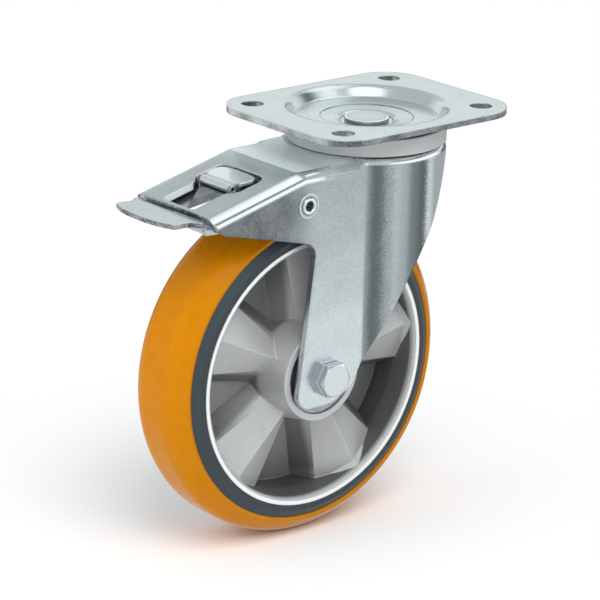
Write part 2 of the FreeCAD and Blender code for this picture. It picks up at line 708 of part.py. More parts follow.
def fork():
    """Pressed fork: one sheet with a nose, a neck, a round back and two flat legs."""
    nose = softened("ForkNoseFolded", nose_and_neck("ForkNose", "0", "fork_width", "-crown_radius * 0.7"),
                    "fold_radius", folded_edges("neck_z", "half_fork"))
    plan = plan_of_fork("ForkPlan", "half_fork", "crown_radius", "crease_radius", "shoulder_z",
                        "-crown_radius * 0.75")
    crown = softened("ForkCrownFolded", plan, "crown_fold", folded_edges("shoulder_z", "half_fork"))
    outside = shared("ForkOutside", [side_of_fork(), fused("ForkForms", [nose, crown, flare()])])
    room = shared("ForkRoom", [
        nose_and_neck("ForkInside", "sheet_gauge", "crown_radius * 2", "crown_radius * 2"),
        plan_of_fork("ForkInsidePlan", "half_inside", "crown_radius - sheet_gauge",
                     "crease_radius + sheet_gauge", "0", "-total_height"),
    ])
    inside = softened("ForkInsideFolded", room, "fold_radius - sheet_gauge",
                      folded_edges("neck_z - sheet_gauge", "half_inside"))
    shell = cut("ForkShell", outside, inside)
    rise = post("ForkRise", "crown_radius - sheet_gauge", "neck_z - sheet_gauge / 2", "crown_z")
    window = prism("ForkWindow", "XY", mirrored([
        ("window_front_width / 2", "-nose_reach + window_bridge", "2"),
        ("window_mid_width / 2", "-window_back - 25", "4"),
        ("window_back_width / 2", "-window_back - 19.6", "6"),
        ("window_back_width / 2", "-window_back", "7"),
    ]), "neck_level * 6")
    window.Placement = FreeCAD.Placement(FreeCAD.Vector(), FreeCAD.Rotation(-90, 0, 0))
    hollow_low = "neck_z - sheet_gauge - 1"
    holes = fused("ForkHoles", [
        post("CrownHole", "crown_hole", "crown_under_z - 5", "crown_z + 5"),
        post("ShoulderHollow", "crown_radius - sheet_gauge", hollow_low, "shoulder_z - sheet_gauge"),
        post("CrownHollow", "crown_radius - sheet_gauge * 2", hollow_low, "crown_under_z"),
        ball_groove("ForkUpperGroove", "upper_row_radius", "upper_ball_z"),
        ball_groove("ForkLowerGroove", "lower_row_radius", "lower_ball_z"),
        bar("AxleHoles", "axle_bolt_radius + fit", "-fork_width", "fork_width", "wheel_x", "wheel_z"),
        bar("PivotHoles", "rivet_radius + fit", "-fork_width", "fork_width", "pivot_x", "pivot_z"),
        window,
    ])
    piece(cut("fork", fused("ForkWithRise", [shell, rise]), holes), "fork")


def ball_groove(name, row_radius, height):
    """Ring-shaped tool for a ball groove in the fork."""
    ring = doc.addObject("Part::Torus", name)
    bind(ring, Radius1=row_radius, Radius2="ball_radius + ball_fit")
    place(ring, 0, 0, height)
    return ring


def spoke_section(body, name, at, side, ridge, half):
    """Section of a roofed spoke: its ridge, then edge, foot and hidden back on each side."""
    across = [(f"{side} * ({height})", width) for width, height in half]
    other = [(height, f"-({width})") for height, width in reversed(across)]
    corners = [(f"{side} * ({ridge})", "0")] + across + other
    return outline(attached(body, name, "YZ", lift=at), corners)


def spokes(body, label, side, direction):
    """One spoke, lofted from the hub to the rim, where its roof rises to the barrel."""
    end = "(barrel_radius + 0.3)"
    last = "(barrel_radius + 4.5)"
    shapes = [("spoke_start", "ridge_root", [
        ("8.4", "facet_root"), ("18.6", "1.6"), ("6.8", "-9.1"), ("1", "-2.3"),
    ])]
    for reach, rise in ((end, "0"), (last, "4.5")):
        shapes.append((reach, f"ridge_height + {rise}", [
            (f"{reach} * tan(18 deg)", f"facet_height + {rise}"),
            (f"{reach} * tan(23.2 deg)", "-pocket_floor - 0.7"),
            (f"{reach} * tan(17.5 deg)", "-7"),
            (f"{reach} * tan(14.5 deg)", "pocket_floor"),
        ]))
    sections = [spoke_section(body, f"{label}Section", f"{direction}{reach}", side, ridge, half)
                for reach, ridge, half in shapes]
    loft = body.newObject("PartDesign::AdditiveLoft", label)
    loft.Profile = sections[0]
    loft.Sections = sections[1:]
    loft.Ruled = True
    return loft


def wheel_core():
    """Cast aluminium core: hub, roofed spokes on both sides in turn, and rim."""
    body = body_named("wheel_core", "wheel_x", 0, "wheel_z")
    near = spokes(body, "NearSpoke", "-1", "")
    far = spokes(body, "FarSpoke", "1", "-")
    repeated(body, [near, far], "Y", "spoke_count")
    outer = "rim_radius - 2"
    turned(body, facing([(outer, "hub_width"), ("rim_radius * 2", "hub_width")]), "SpokeTrim", "XY", True)
    turned(body, facing([
        ("bearing_bore", "hub_width / 2"),
        ("hub_radius", "hub_width / 2", "0.5"),
        ("hub_root", "hub_width / 5"),
    ]), "Hub", "XY")
    turned(body, facing([
        ("barrel_radius", "0.3"),
        ("barrel_mouth", "rim_width / 2 - 1.4"),
        ("rim_radius - rim_land", "rim_width / 2"),
        ("rim_radius", "rim_width / 2"),
    ]), "Rim", "XY")
    turned(body, facing([
        ("1", "hub_width"),
        ("bearing_radius", "hub_width"),
        ("bearing_radius", "bearing_in"),
        ("bearing_radius - 2.5", "bearing_in"),
    ]), "Bore", "XY", True)
    body.Placement.Rotation = FreeCAD.Rotation(FreeCAD.Vector(0, 1, 0), -value("spoke_phase"))


def tyre():
    """Dark cushion ring on the rim and the tread cast round it."""
    cushion = body_named("cushion_ring", "wheel_x", 0, "wheel_z")
    turned(cushion, facing([
        ("rim_radius", "cushion_width / 2"),
        ("rim_radius + cushion_flat", "cushion_width / 2", "0.6"),
        ("cushion_radius", "tread_width / 2 - 1"),
    ]), "Cushion", "XY")
    tread = body_named("tread", "wheel_x", 0, "wheel_z")
    turned(tread, facing([
        ("cushion_radius", "tread_width / 2 - 1"),
        ("tread_side", "tread_width / 2", "1.2"),
        ("wheel_diameter / 2", "tread_flat / 2", "14"),
    ]), "Tread", "XY")


def bearing(label, side):
    """Deep-groove ball bearing in one end of the hub: rings, balls and seals."""
    low, high = "bearing_in", "bearing_out"
    inner_land = "bearing_bore + land_height"
    outer_land = "bearing_radius - land_height"
    middle = f"{side} * ({low} + {high}) / 2"
    for name, rims in (("outer_ring", (outer_land, "bearing_radius")), ("inner_ring", ("bearing_bore", inner_land))):
        body = body_named(f"bearing_{name}_{label}", "wheel_x", 0, "wheel_z")
        turned(body, [
            (rims[0], f"{side} * {low}"),
            (rims[1], f"{side} * {low}", "0.5"),
            (rims[1], f"{side} * {high}", "0.5"),
            (rims[0], f"{side} * {high}"),
        ], "Ring", "XY")
        groove_ring(body, "bearing_pitch", middle, "bearing_ball + fit", "Raceway", "XY")
    ball_row(f"bearing_balls_{label}", BEARING_BALLS, value("bearing_pitch"), value(middle),
             value("bearing_ball"), upright=False, centre=(value("wheel_x"), 0, value("wheel_z")))
    seals = []
    for face, inward in ((high, -1), (low, 1)):
        edge = value(f"{side} * {face}")
        span = value("shield_gauge") * inward * value(side)
        start = FreeCAD.Vector(value("wheel_x"), min(edge, edge + span), value("wheel_z"))
        along = FreeCAD.Vector(0, 1, 0)
        disc = Part.makeCylinder(value(outer_land) - value("fit"), abs(span), start, along)
        eye = Part.makeCylinder(value(inner_land) + value("seat_gap"), abs(span), start, along)
        seals.append(disc.cut(eye))
    group(seals, f"bearing_seals_{label}")


def sleeve(label, bore, radius, near, far):
    """A plain ring or tube on the axle."""
    body = body_named(label, "wheel_x", 0, "wheel_z")
    turned(body, [(bore, near), (radius, near), (radius, far), (bore, far)], "Sleeve", "XY")


def hexagon(flats):
    """Corners of a hexagon with one corner on each side of the first axis."""
    reach = f"({flats}) / sqrt(3)"
    corners = []
    for index in range(6):
        turn = f"{index * 60} deg"
        corners.append((f"{reach} * cos({turn})", f"{reach} * sin({turn})"))
    return corners


def axle():
    """Axle bolt with its tube, spacers, washer and locking nut."""
    head_y = "-half_fork - bolt_head"
    bolt = body_named("axle_bolt", "wheel_x", 0, "wheel_z")
    head = outline(attached(bolt, "HeadOutline", "XZ", lift="half_fork"), hexagon("bolt_flats"))
    pad(bolt, head, "bolt_head")
    chamfer = "bolt_flats / sqrt(3)"
    turned(bolt, [
        (f"{chamfer} - 1.9", f"{head_y} - 0.1"),
        (f"{chamfer} + 1", f"{head_y} + 1.6"),
        (f"{chamfer} + 1", f"{head_y} - 0.1"),
    ], "HeadChamfer", "XY", True)
    turned(bolt, [
        ("0", f"{head_y} + 2"),
        ("axle_bolt_radius", f"{head_y} + 2"),
        ("axle_bolt_radius", "bolt_length - half_fork", "1"),
        ("0", "bolt_length - half_fork"),
    ], "Shank", "XY")
    nut_y = "half_fork + washer_gauge"
    nut = body_named("lock_nut", "wheel_x", 0, "wheel_z")
    blank = outline(attached(nut, "NutOutline", "XZ", lift=f"-({nut_y})"), hexagon("bolt_flats"))
    pad(nut, blank, "nut_height * 0.7", backwards=True)
    turned(nut, [
        ("axle_bolt_radius", f"{nut_y} + nut_height * 0.6"),
        ("bolt_flats / 2 - 1", f"{nut_y} + nut_height * 0.6"),
        ("bolt_flats / 2 - 1", f"{nut_y} + nut_height", "1.5"),
        ("axle_bolt_radius", f"{nut_y} + nut_height"),
    ], "Collar", "XY")
    turned(nut, [
        ("0", f"{nut_y} - 1"),
        ("axle_bolt_radius + fit", f"{nut_y} - 1"),
        ("axle_bolt_radius + fit", f"{nut_y} + nut_height + 1"),
        ("0", f"{nut_y} + nut_height + 1"),
    ], "NutBore", "XY", True)
    sleeve("nut_washer", "axle_bolt_radius + fit", "washer_radius", "half_fork", nut_y)
    tube = "bearing_bore - fit"
    sleeve("axle_tube", "axle_bolt_radius + fit", tube, "-half_inside", "half_inside")
    over = "bearing_bore + fit"
    sleeve("bearing_spacer", over, "bearing_bore + 3", "-bearing_in", "bearing_in")
    for label, side in (("bolt_side", "-1"), ("nut_side", "1")):
        sleeve(f"distance_ring_{label}", over, "bearing_bore + 3.5",
               f"{side} * bearing_out", f"{side} * half_inside")


def pivot_rivets():
    """Two hollow rivets that carry the brake lever inside the fork."""
    doc.recompute()
    shapes = []
    flange, wall, lip = value("rivet_flange"), value("rivet_wall"), value("rivet_lip")
    shank, bore = value("rivet_radius"), value("rivet_bore")
    leg_out, leg_in = value("half_fork"), value("half_inside")
    arm_out, arm_in = value("half_pedal"), value("arm_inside")
    gap = value("fit")
    steps = (
        (leg_out + wall, leg_out, flange),
        (leg_out, leg_in, shank),
        (leg_in, arm_out + gap, flange),
        (arm_out + gap, arm_in - gap, shank),
        (arm_in - gap, arm_in - gap - wall, bore + lip * 2),
    )
    for side in (-1, 1):
        along = FreeCAD.Vector(0, side, 0)

        def spot(reach):
            return FreeCAD.Vector(value("pivot_x"), side * reach, value("pivot_z"))

        rings = [Part.makeCylinder(radius, far - near, spot(near), along) for far, near, radius in steps]
        roll = Part.makeTorus(bore + lip, lip, spot(leg_out + wall), along)
        rings.append(roll.common(Part.makeCylinder(flange, flange, spot(leg_out), along)))
        solid = rings[0].multiFuse(rings[1:]).removeSplitter()
        hole = Part.makeCylinder(bore, value("fork_width"), spot(0), along)
        shapes.append(solid.cut(hole))
    group(shapes, "pivot_rivets")


def strip(points, gauge):
    """Outline of a bent strip from its top line of (x, z), with a lean for a steep stretch."""
    top = [point[:2] for point in points]
    under = []
    for point in reversed(points):
        lean = point[2] if len(point) == 3 else "0"
        under.append((f"({point[0]}) - {lean}", f"({point[1]}) - {gauge}"))
    return top + under


def brake_lever():
    """Pressed brake lever: pedal lip, web, side arms, raised ramp and hinge ears."""
    half = "half_pedal"
    slope = "tan(nose_slope * 1 deg)"
    front_x = "-nose_reach + 4"
    front_z = "nose_end_z - sheet_gauge - 2"
    ramp_x = "knuckle_x - 2.4"
    ramp_z = f"{front_z} + (nose_reach - 4 + ({ramp_x})) * {slope}"
    step_z = f"{front_z} - 0.4"
    line = [
        ("-lip_reach - lip_crown - 1", "-lip_level + 0.4"),
        ("-nose_reach - 3", "-lip_level - 0.7", "1.4"),
        ("-nose_reach - 0.6", step_z, "1.4"),
        (front_x, front_z),
        (ramp_x, ramp_z),
        ("knuckle_x + 7", ramp_z),
        ("-shoe_back - shoe_length", "web_z"),
        ("-lever_back", "web_z"),
    ]
    sheet_strip = prism("LeverStrip", "XZ", strip(line, "pedal_gauge"), "pedal_width")
    plan = prism("LeverPlan", "XY", mirrored([
        ("lip_width / 4", "-lip_reach - lip_crown", "45"),
        ("lip_width / 2", "-lip_reach", "1"),
        ("lip_width / 2 - 0.6", "-nose_reach - 9", "5"),
        (half, "-nose_reach - 5.4", "2"),
        (half, "-lever_back"),
    ]), "total_height")
    plan.Placement = FreeCAD.Placement(FreeCAD.Vector(), FreeCAD.Rotation(-90, 0, 0))
    web = shared("LeverWeb", [sheet_strip, plan])
    arm_outline = [
        ("-nose_reach - 5.4", "-lip_level - 0.5", "1.2"),
        ("-nose_reach - 3", "-lip_level - 0.7"),
        ("-nose_reach - 0.6", step_z),
        (front_x, front_z),
        (ramp_x, ramp_z),
        ("knuckle_x + 7", ramp_z),
        ("-pivot_reach - 10", "web_z + 6", "4"),
        ("-pivot_reach + 6", "web_z + 7", "5"),
        ("-pivot_reach + 13", "web_z"),
        ("-lever_back", "web_z"),
        ("-lever_back", "web_z - pedal_gauge"),
        ("-pivot_reach + 14", "web_z - pedal_gauge"),
        ("-pivot_reach + 7", "pivot_z - 10", "5"),
        ("-nose_reach + 8", "nose_end_z - nose_depth - 0.4", "12"),
        ("-nose_reach - 2", "nose_end_z - nose_depth", "1.5"),
    ]
    arms_full = prism("LeverArmsFull", "XZ", arm_outline, "pedal_width")
    between = block("LeverBetween", ("-total_height", "-arm_inside", "-total_height"),
                    ("0", "arm_inside", "0"))
    arms = cut("LeverArms", arms_full, between)
    ramp = ramp_shell(front_x, front_z, ramp_x, ramp_z)
    ears = prism("LeverEars", "XZ", [
        ("knuckle_x - 3.2", f"{ramp_z} - 1"),
        ("knuckle_x - 2.5", "knuckle_z + 2.4", "2.2"),
        ("knuckle_x + 2.5", "knuckle_z + 2.4", "2.2"),
        ("knuckle_x + 3.2", f"{ramp_z} - 1"),
    ], "knuckle_width + ear_gauge * 2")
    ear_gap = block("LeverEarGap", ("-total_height", "-knuckle_width / 2 - seat_gap", "-total_height"),
                    ("0", "knuckle_width / 2 + seat_gap", "0"))
    lever_ears = cut("LeverEarPair", ears, ear_gap)
    joined = fused("LeverJoined", [web, arms, ramp, lever_ears])
    notch_half = "rivet_flange + seat_gap * 2"
    rivet_room = "arm_inside - rivet_wall - seat_gap * 3"
    openings = [bar("LeverPinHoles", "tongue_pin_radius + fit", "-fork_width", "fork_width",
                    "knuckle_x", "knuckle_z")]
    for label, inner, outer in (("Near", "-arm_inside", "-fork_width"), ("Far", "arm_inside", "fork_width")):
        low, high = sorted((inner, outer), key=value)
        openings.append(bar(f"LeverPivotHole{label}", "rivet_radius + fit * 2", low, high, "pivot_x", "pivot_z"))
        room = inner.replace("arm_inside", f"({rivet_room})")
        low, high = sorted((inner, room), key=value)
        openings.append(block(f"LeverNotch{label}", (f"pivot_x - {notch_half}", low, "web_z - pedal_gauge * 2"),
                              (f"pivot_x + {notch_half}", high, "web_z + pedal_gauge")))
    piece(cut("brake_pedal", joined, fused("LeverHoles", openings)), "brake_pedal")


def ramp_section(name, at, top_half, top, bottom_half, bottom):
    """Upright section of the lever's ramp, facing along X."""
    sketch = outline(attached(None, name, "YZ"), [
        (top_half, top), (f"-({top_half})", top), (f"-({bottom_half})", bottom), (bottom_half, bottom),
    ])
    sketch.setExpression("Placement.Base.x", tied(at))
    return sketch


def ramp_shell(front_x, front_z, back_x, back_z):
    """Pressed ramp that rises from the lever's web to the tongue and widens on its way."""
    top = "knuckle_z - knuckle_radius - 0.3"
    width = "knuckle_width / 2"
    solids = []
    for label, inset in (("Outer", "0"), ("Inner", "pedal_gauge")):
        shift = f"({inset})"
        front = ramp_section(f"Ramp{label}Front", f"{front_x} + 6 + {shift} * 2.2", f"0.4 + {shift} * 0.6",
                             f"{front_z} + 2.6 + {shift} * 0.1", f"8 - {shift} * 0.3",
                             f"{front_z} - pedal_gauge - {shift}")
        back = ramp_section(f"Ramp{label}Back", f"{back_x} + {shift} * 0.2", f"{width} - {shift} * 0.9",
                            f"{top} - {shift} * 0.9", f"{width} + 2.2 - {shift}",
                            f"{back_z} - pedal_gauge - {shift}")
        loft = doc.addObject("Part::Loft", f"Ramp{label}")
        loft.Sections = [front, back]
        loft.Solid = True
        loft.Ruled = True
        solids.append(loft)
    return cut("RampShell", *solids)


def release_tongue():
    """Paddle with a rolled front edge, hinged on a pin in the lever's ears."""
    tip = "-tongue_reach"
    plan = prism("TonguePlan", "XY", mirrored([
        ("knuckle_width / 2", "knuckle_x - knuckle_radius"),
        ("knuckle_width / 2", "knuckle_x + 3.6"),
        ("tongue_width / 2 - 1.2", "knuckle_x + 4", "1"),
        ("tongue_width / 2", f"{tip} - 2", "4.5"),
        ("tongue_width / 5", tip, "40"),
    ]), "total_height")
    plan.Placement = FreeCAD.Placement(FreeCAD.Vector(), FreeCAD.Rotation(-90, 0, 0))
    top = "knuckle_z + knuckle_radius"
    side = prism("TongueSide", "XZ", strip([
        ("knuckle_x + 1.8", f"{top} + 0.3"),
        (f"{tip} + 4", f"{top} + 1.9"),
        (f"{tip}", f"{top} + 1.6"),
    ], "tongue_gauge"), "tongue_width + 2")
    paddle = shared("TonguePaddle", [side, plan])
    roll = bar("TongueRoll", "knuckle_radius", "-knuckle_width / 2", "knuckle_width / 2",
               "knuckle_x", "knuckle_z")
    eye = bar("TongueEye", "tongue_pin_radius + fit", "-fork_width", "fork_width", "knuckle_x", "knuckle_z")
    joined = fused("TongueJoined", [paddle, roll])
    piece(cut("release_tongue", joined, eye), "release_tongue")
    ends = ("-knuckle_width / 2 - ear_gauge", "knuckle_width / 2 + ear_gauge", "knuckle_x", "knuckle_z")
    rod = bar("TonguePinRod", "tongue_pin_radius", *ends)
    hollow = bar("TonguePinHollow", "tongue_pin_bore", *ends)
    piece(cut("tongue_pin", rod, hollow), "tongue_pin")


def brake_shoe():
    """Shoe under the lever; its face is the tread's arc at the end of the travel."""
    arm_x = "(wheel_x - pivot_x)"
    arm_z = "(wheel_z - pivot_z)"
    swing = "pedal_travel * 1 deg"
    centre_x = f"pivot_x + {arm_x} * cos({swing}) + {arm_z} * sin({swing})"
    centre_z = f"pivot_z + {arm_z} * cos({swing}) - {arm_x} * sin({swing})"
    under = "web_z - pedal_gauge"
    slab = block("ShoeBlock", ("-shoe_back - shoe_length", "-shoe_width / 2", f"{under} - 12"),
                 ("-shoe_back", "shoe_width / 2", under))
    drum = bar("ShoeDrum", "wheel_diameter / 2 + seat_gap", "-shoe_width", "shoe_width", centre_x, centre_z)
    piece(cut("brake_shoe", slab, drum), "brake_shoe")


def lock_tooth():
    """Tooth on the lever's back end that enters a notch of the lock ring."""
    body = body_named("lock_tooth")
    back = "-lever_back + 5.5"
    front = f"{back} - tooth_length"
    side = outline(attached(body, "ToothOutline", "XZ"), [
        (front, "web_z"),
        (f"{front} + 1", "web_z + tooth_rise", "0.6"),
        (back, "web_z + tooth_rise", "0.6"),
        (back, "web_z"),
    ])
    pad(body, side, "tooth_gauge", "Symmetric")


def brake_spring():
    """Leaf spring between the lever's back end and the fork's neck."""
    body = body_named("brake_spring")
    top = "neck_z - sheet_gauge - 0.1"
    side = outline(attached(body, "SpringOutline", "XZ"), strip([
        ("-swivel_offset - 13", top),
        ("-swivel_offset - 9", f"{top} - 1"),
        ("-swivel_offset - 1", "web_z + spring_gauge + 1"),
        ("-swivel_offset + 2", "web_z + spring_gauge"),
        ("-lever_back - 4", "web_z + spring_gauge"),
    ], "spring_gauge"))
    pad(body, side, "spring_width", "Symmetric")


def checked(item):
    """Stop if a finished piece is missing, empty or not valid."""
    shape = item.Shape
    if shape.isNull() or not shape.isValid() or shape.Volume <= 0:
        raise RuntimeError(f"{item.Label}: shape is not valid")
    return shape


def build():
    """Make every piece, check the document and write one file for each piece."""
    mounting_plate()
    kingpin()
    race_cover()
    lower_race()
    lock_ring()
    fork()
    wheel_core()
    tyre()
    bearing("bolt_side", "-1")
    bearing("nut_side", "1")
    axle()
    pivot_rivets()
    brake_lever()
    release_tongue()
    brake_shoe()
    lock_tooth()
    brake_spring()
    ball_row("upper_balls", UPPER_BALLS, value("upper_row_radius"), value("upper_ball_z"), value("ball_radius"))
    ball_row("lower_balls", LOWER_BALLS, value("lower_row_radius"), value("lower_ball_z"), value("ball_radius"))
    doc.recompute()
    for item in doc.Objects:
        if "Invalid" in item.State or "Error" in item.State:
            raise RuntimeError(f"{item.Label}: {item.State}")
    os.makedirs("parts", exist_ok=True)
    for item in pieces:
        checked(item).exportStep(f"parts/{item.Label}.step")
        print(f"{item.Label}: {item.Shape.Volume:.0f} mm3, {len(item.Shape.Solids)} solid(s)")


build()
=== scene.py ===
import math

import bmesh
import bpy
import numpy as np
from mathutils import Matrix, Vector


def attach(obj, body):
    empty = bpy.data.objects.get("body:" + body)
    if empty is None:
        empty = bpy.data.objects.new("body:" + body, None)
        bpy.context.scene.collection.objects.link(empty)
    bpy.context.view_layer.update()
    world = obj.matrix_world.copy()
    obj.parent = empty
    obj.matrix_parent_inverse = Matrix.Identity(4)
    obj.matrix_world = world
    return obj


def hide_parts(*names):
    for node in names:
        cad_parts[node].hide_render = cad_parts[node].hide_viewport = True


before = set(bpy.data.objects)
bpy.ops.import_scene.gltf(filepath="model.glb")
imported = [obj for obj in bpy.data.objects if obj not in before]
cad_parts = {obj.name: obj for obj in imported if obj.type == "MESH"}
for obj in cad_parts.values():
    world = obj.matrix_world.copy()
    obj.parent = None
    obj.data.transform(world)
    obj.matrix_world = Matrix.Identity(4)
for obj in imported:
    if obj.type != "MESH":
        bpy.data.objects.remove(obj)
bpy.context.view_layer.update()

bl_info = {
    "name": "Swivel castor",
    "version": (1, 0, 0),
    "blender": (4, 5, 0),
    "location": "View3D > Sidebar > Castor",
    "description": "Dresses the packed swivel castor with detailed surfaces and materials",
    "category": "Object",
}

MM = 0.001

# Middles of the wheel's axle and of the brake rivets, in millimetres
AXLE = (-55.0, 0.0, -145.0)
RIVETS = (-72.7, 0.0, -39.7)


# Mesh building

# Edges with a larger angle in degrees stay sharp
SHARP_EDGE = 30.0


def ring_quads(rings, points, closed):
    """Corner numbers of the quads between neighbouring rings of points, and from last to first if closed.

    Point p of ring r has the number r times the points in a ring, plus p; each ring is closed.
    """
    ring, point = np.meshgrid(np.arange(rings if closed else rings - 1), np.arange(points), indexing="ij")
    next_ring, next_point = (ring + 1) % rings, (point + 1) % points
    corners = [ring * points + point, next_ring * points + point, next_ring * points + next_point,
               ring * points + next_point]
    return np.stack(corners, -1).reshape(-1, 4)


def smooth(mesh):
    """Shade a mesh smooth, with its sharp edges kept."""
    mesh.shade_smooth()
    mesh.set_sharp_from_angle(angle=math.radians(SHARP_EDGE))


def mesh_object(name, points, quads):
    """A smooth-shaded mesh object from points in millimetres and the corner numbers of its quads."""
    mesh = bpy.data.meshes.new(name)
    mesh.vertices.add(len(points))
    mesh.vertices.foreach_set("co", (np.asarray(points, np.float32) * MM).ravel())
    mesh.loops.add(quads.size)
    mesh.loops.foreach_set("vertex_index", quads.astype(np.int32).ravel())
    mesh.polygons.add(len(quads))
    mesh.polygons.foreach_set("loop_start", np.arange(0, quads.size, 4, dtype=np.int32))
    mesh.update(calc_edges=True)
    mesh.validate()
    smooth(mesh)
    thing = bpy.data.objects.new(name, mesh)
    bpy.context.scene.collection.objects.link(thing)
    return thing


def dress(thing, body, material):
    """Give a new piece its material and let it ride on a body."""
    thing.data.materials.clear()
    thing.data.materials.append(MATERIALS[material][0])
    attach(thing, body)


def paint(name, material):
    """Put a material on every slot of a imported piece."""
    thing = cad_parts[name]
    if not thing.data.materials:
        thing.data.materials.append(None)
    for index in range(len(thing.data.materials)):
        thing.data.materials[index] = MATERIALS[material][0]


# Materials

# Each material by its name, with the record's slot that it stands for
MATERIALS = {}


def feed(tree, socket, value):
    """Link a socket to another one, or set it to a plain value."""
    if isinstance(value, bpy.types.NodeSocket):
        tree.links.new(value, socket)
    else:
        socket.default_value = value


def node(tree, kind, **inputs):
    """Add a shader node with its inputs, which are values or other nodes' sockets.

    An input goes by its socket's name with _ for a space, or by i and the socket's number.
    """
    made = tree.nodes.new(kind)
    for name, value in inputs.items():
        key = int(name[1:]) if name[0] == "i" and name[1:].isdigit() else name.replace("_", " ")
        feed(tree, made.inputs[key], value)
    return made


def group(name, inputs, outputs):
    """An empty shader node group with its sockets, its input node and its output node."""
    tree = bpy.data.node_groups.new(name, "ShaderNodeTree")
    for label, kind, default in inputs:
        made = tree.interface.new_socket(label, in_out="INPUT", socket_type=kind)
        made.default_value = default
    for label, kind in outputs:
        tree.interface.new_socket(label, in_out="OUTPUT", socket_type=kind)
    return tree, tree.nodes.new("NodeGroupInput"), tree.nodes.new("NodeGroupOutput")


def math_node(tree, operation, a, b=0.0, clamp=False):
    """A Math node's result."""
    made = node(tree, "ShaderNodeMath", i0=a, i1=b)
    made.operation = operation
    made.use_clamp = clamp
    return made.outputs[0]


def ramp(tree, value, low, high, to_low=0.0, to_high=1.0):
    """A value carried from one range to another with soft ends."""
    made = node(tree, "ShaderNodeMapRange", Value=value, From_Min=low, From_Max=high,
                To_Min=to_low, To_Max=to_high)
    made.interpolation_type = "SMOOTHSTEP"
    return made.outputs[0]


def blend(tree, amount, a, b):
    """Mix two colours."""
    made = tree.nodes.new("ShaderNodeMix")
    made.data_type = "RGBA"
    for index, value in ((0, amount), (6, a), (7, b)):
        feed(tree, made.inputs[index], value)
    return made.outputs[2]


def colour(red, green, blue):
    """Linear colour from an sRGB one given as 0 to 255."""
    def linear(c):
        c /= 255
        return c / 12.92 if c <= 0.04045 else ((c + 0.055) / 1.055) ** 2.4
    return (linear(red), linear(green), linear(blue), 1.0)


def grain_group():
    """Fine mottled grain with slow stains over it: a value near 0.5, and a height."""
    tree, given, result = group("FineGrain", [
        ("Scale", "NodeSocketFloat", 900.0),
        ("Stain scale", "NodeSocketFloat", 60.0),
        ("Stain amount", "NodeSocketFloat", 0.3),
    ], [("Value", "NodeSocketFloat"), ("Height", "NodeSocketFloat")])
    place = tree.nodes.new("ShaderNodeTexCoord").outputs["Object"]
    fine = node(tree, "ShaderNodeTexNoise", Vector=place, Scale=given.outputs["Scale"],
                Detail=3.0, Roughness=0.65)
    slow = node(tree, "ShaderNodeTexNoise", Vector=place, Scale=given.outputs["Stain scale"],
                Detail=4.0, Roughness=0.6)
    stain = math_node(tree, "MULTIPLY", math_node(tree, "SUBTRACT", slow.outputs[0], 0.5),
                      given.outputs["Stain amount"])
    tree.links.new(math_node(tree, "ADD", fine.outputs[0], stain), result.inputs["Value"])
    tree.links.new(fine.outputs[0], result.inputs["Height"])


def drawing_group():
    """Long fine drawing marks along one axis: a value from 0 to 1."""
    tree, given, result = group("DrawingMarks", [
        ("Along", "NodeSocketVector", (1.0, 0.04, 1.0)),
        ("Scale", "NodeSocketFloat", 900.0),
    ], [("Value", "NodeSocketFloat")])
    place = tree.nodes.new("ShaderNodeTexCoord").outputs["Object"]
    stretched = node(tree, "ShaderNodeVectorMath", i0=place, i1=given.outputs["Along"])
    stretched.operation = "MULTIPLY"
    marks = node(tree, "ShaderNodeTexNoise", Vector=stretched.outputs[0], Scale=given.outputs["Scale"],
                 Detail=2.0)
    tree.links.new(ramp(tree, marks.outputs[0], 0.35, 0.7), result.inputs["Value"])


def edge_group():
    """Rounded edges: the normal of a small rounding, and a mask of where it leaves the true normal."""
    tree, given, result = group("SoftEdges", [
        ("Radius", "NodeSocketFloat", 0.0012),
        ("Low", "NodeSocketFloat", 0.01),
        ("High", "NodeSocketFloat", 0.2),
    ], [("Normal", "NodeSocketVector"), ("Mask", "NodeSocketFloat")])
    soft = node(tree, "ShaderNodeBevel", Radius=given.outputs["Radius"])
    soft.samples = 6
    plain = tree.nodes.new("ShaderNodeNewGeometry")
    dot = node(tree, "ShaderNodeVectorMath", i0=soft.outputs[0], i1=plain.outputs["Normal"])
    dot.operation = "DOT_PRODUCT"
    mask = ramp(tree, math_node(tree, "SUBTRACT", 1.0, dot.outputs["Value"]), given.outputs["Low"],
                given.outputs["High"])
    tree.links.new(soft.outputs[0], result.inputs["Normal"])
    tree.links.new(mask, result.inputs["Mask"])


def placed_group(tree, name, **values):
    """Put a shared group into a material with its own values."""
    made = node(tree, "ShaderNodeGroup")
    made.node_tree = bpy.data.node_groups[name]
    for label, value in values.items():
        made.inputs[label.replace("_", " ")].default_value = value
    return made


def start_material(name, slot):
    """A new material with its Principled shader; returns the tree and the shader."""
    made = bpy.data.materials.new(name)
    made.use_nodes = True
    tree = made.node_tree
    tree.nodes.clear()
    shader = tree.nodes.new("ShaderNodeBsdfPrincipled")
    output = tree.nodes.new("ShaderNodeOutputMaterial")
    tree.links.new(shader.outputs[0], output.inputs[0])
    MATERIALS[name] = (made, slot)
    return tree, shader


def object_axes(tree):
    """The three object coordinates in metres."""
    place = tree.nodes.new("ShaderNodeTexCoord").outputs["Object"]
    return node(tree, "ShaderNodeSeparateXYZ", Vector=place).outputs


def object_normal(tree):
    """The three parts of the surface's direction on the piece."""
    way = tree.nodes.new("ShaderNodeTexCoord").outputs["Normal"]
    return node(tree, "ShaderNodeSeparateXYZ", Vector=way).outputs


def absolute(tree, value):
    """A value without its sign."""
    return math_node(tree, "ABSOLUTE", value)


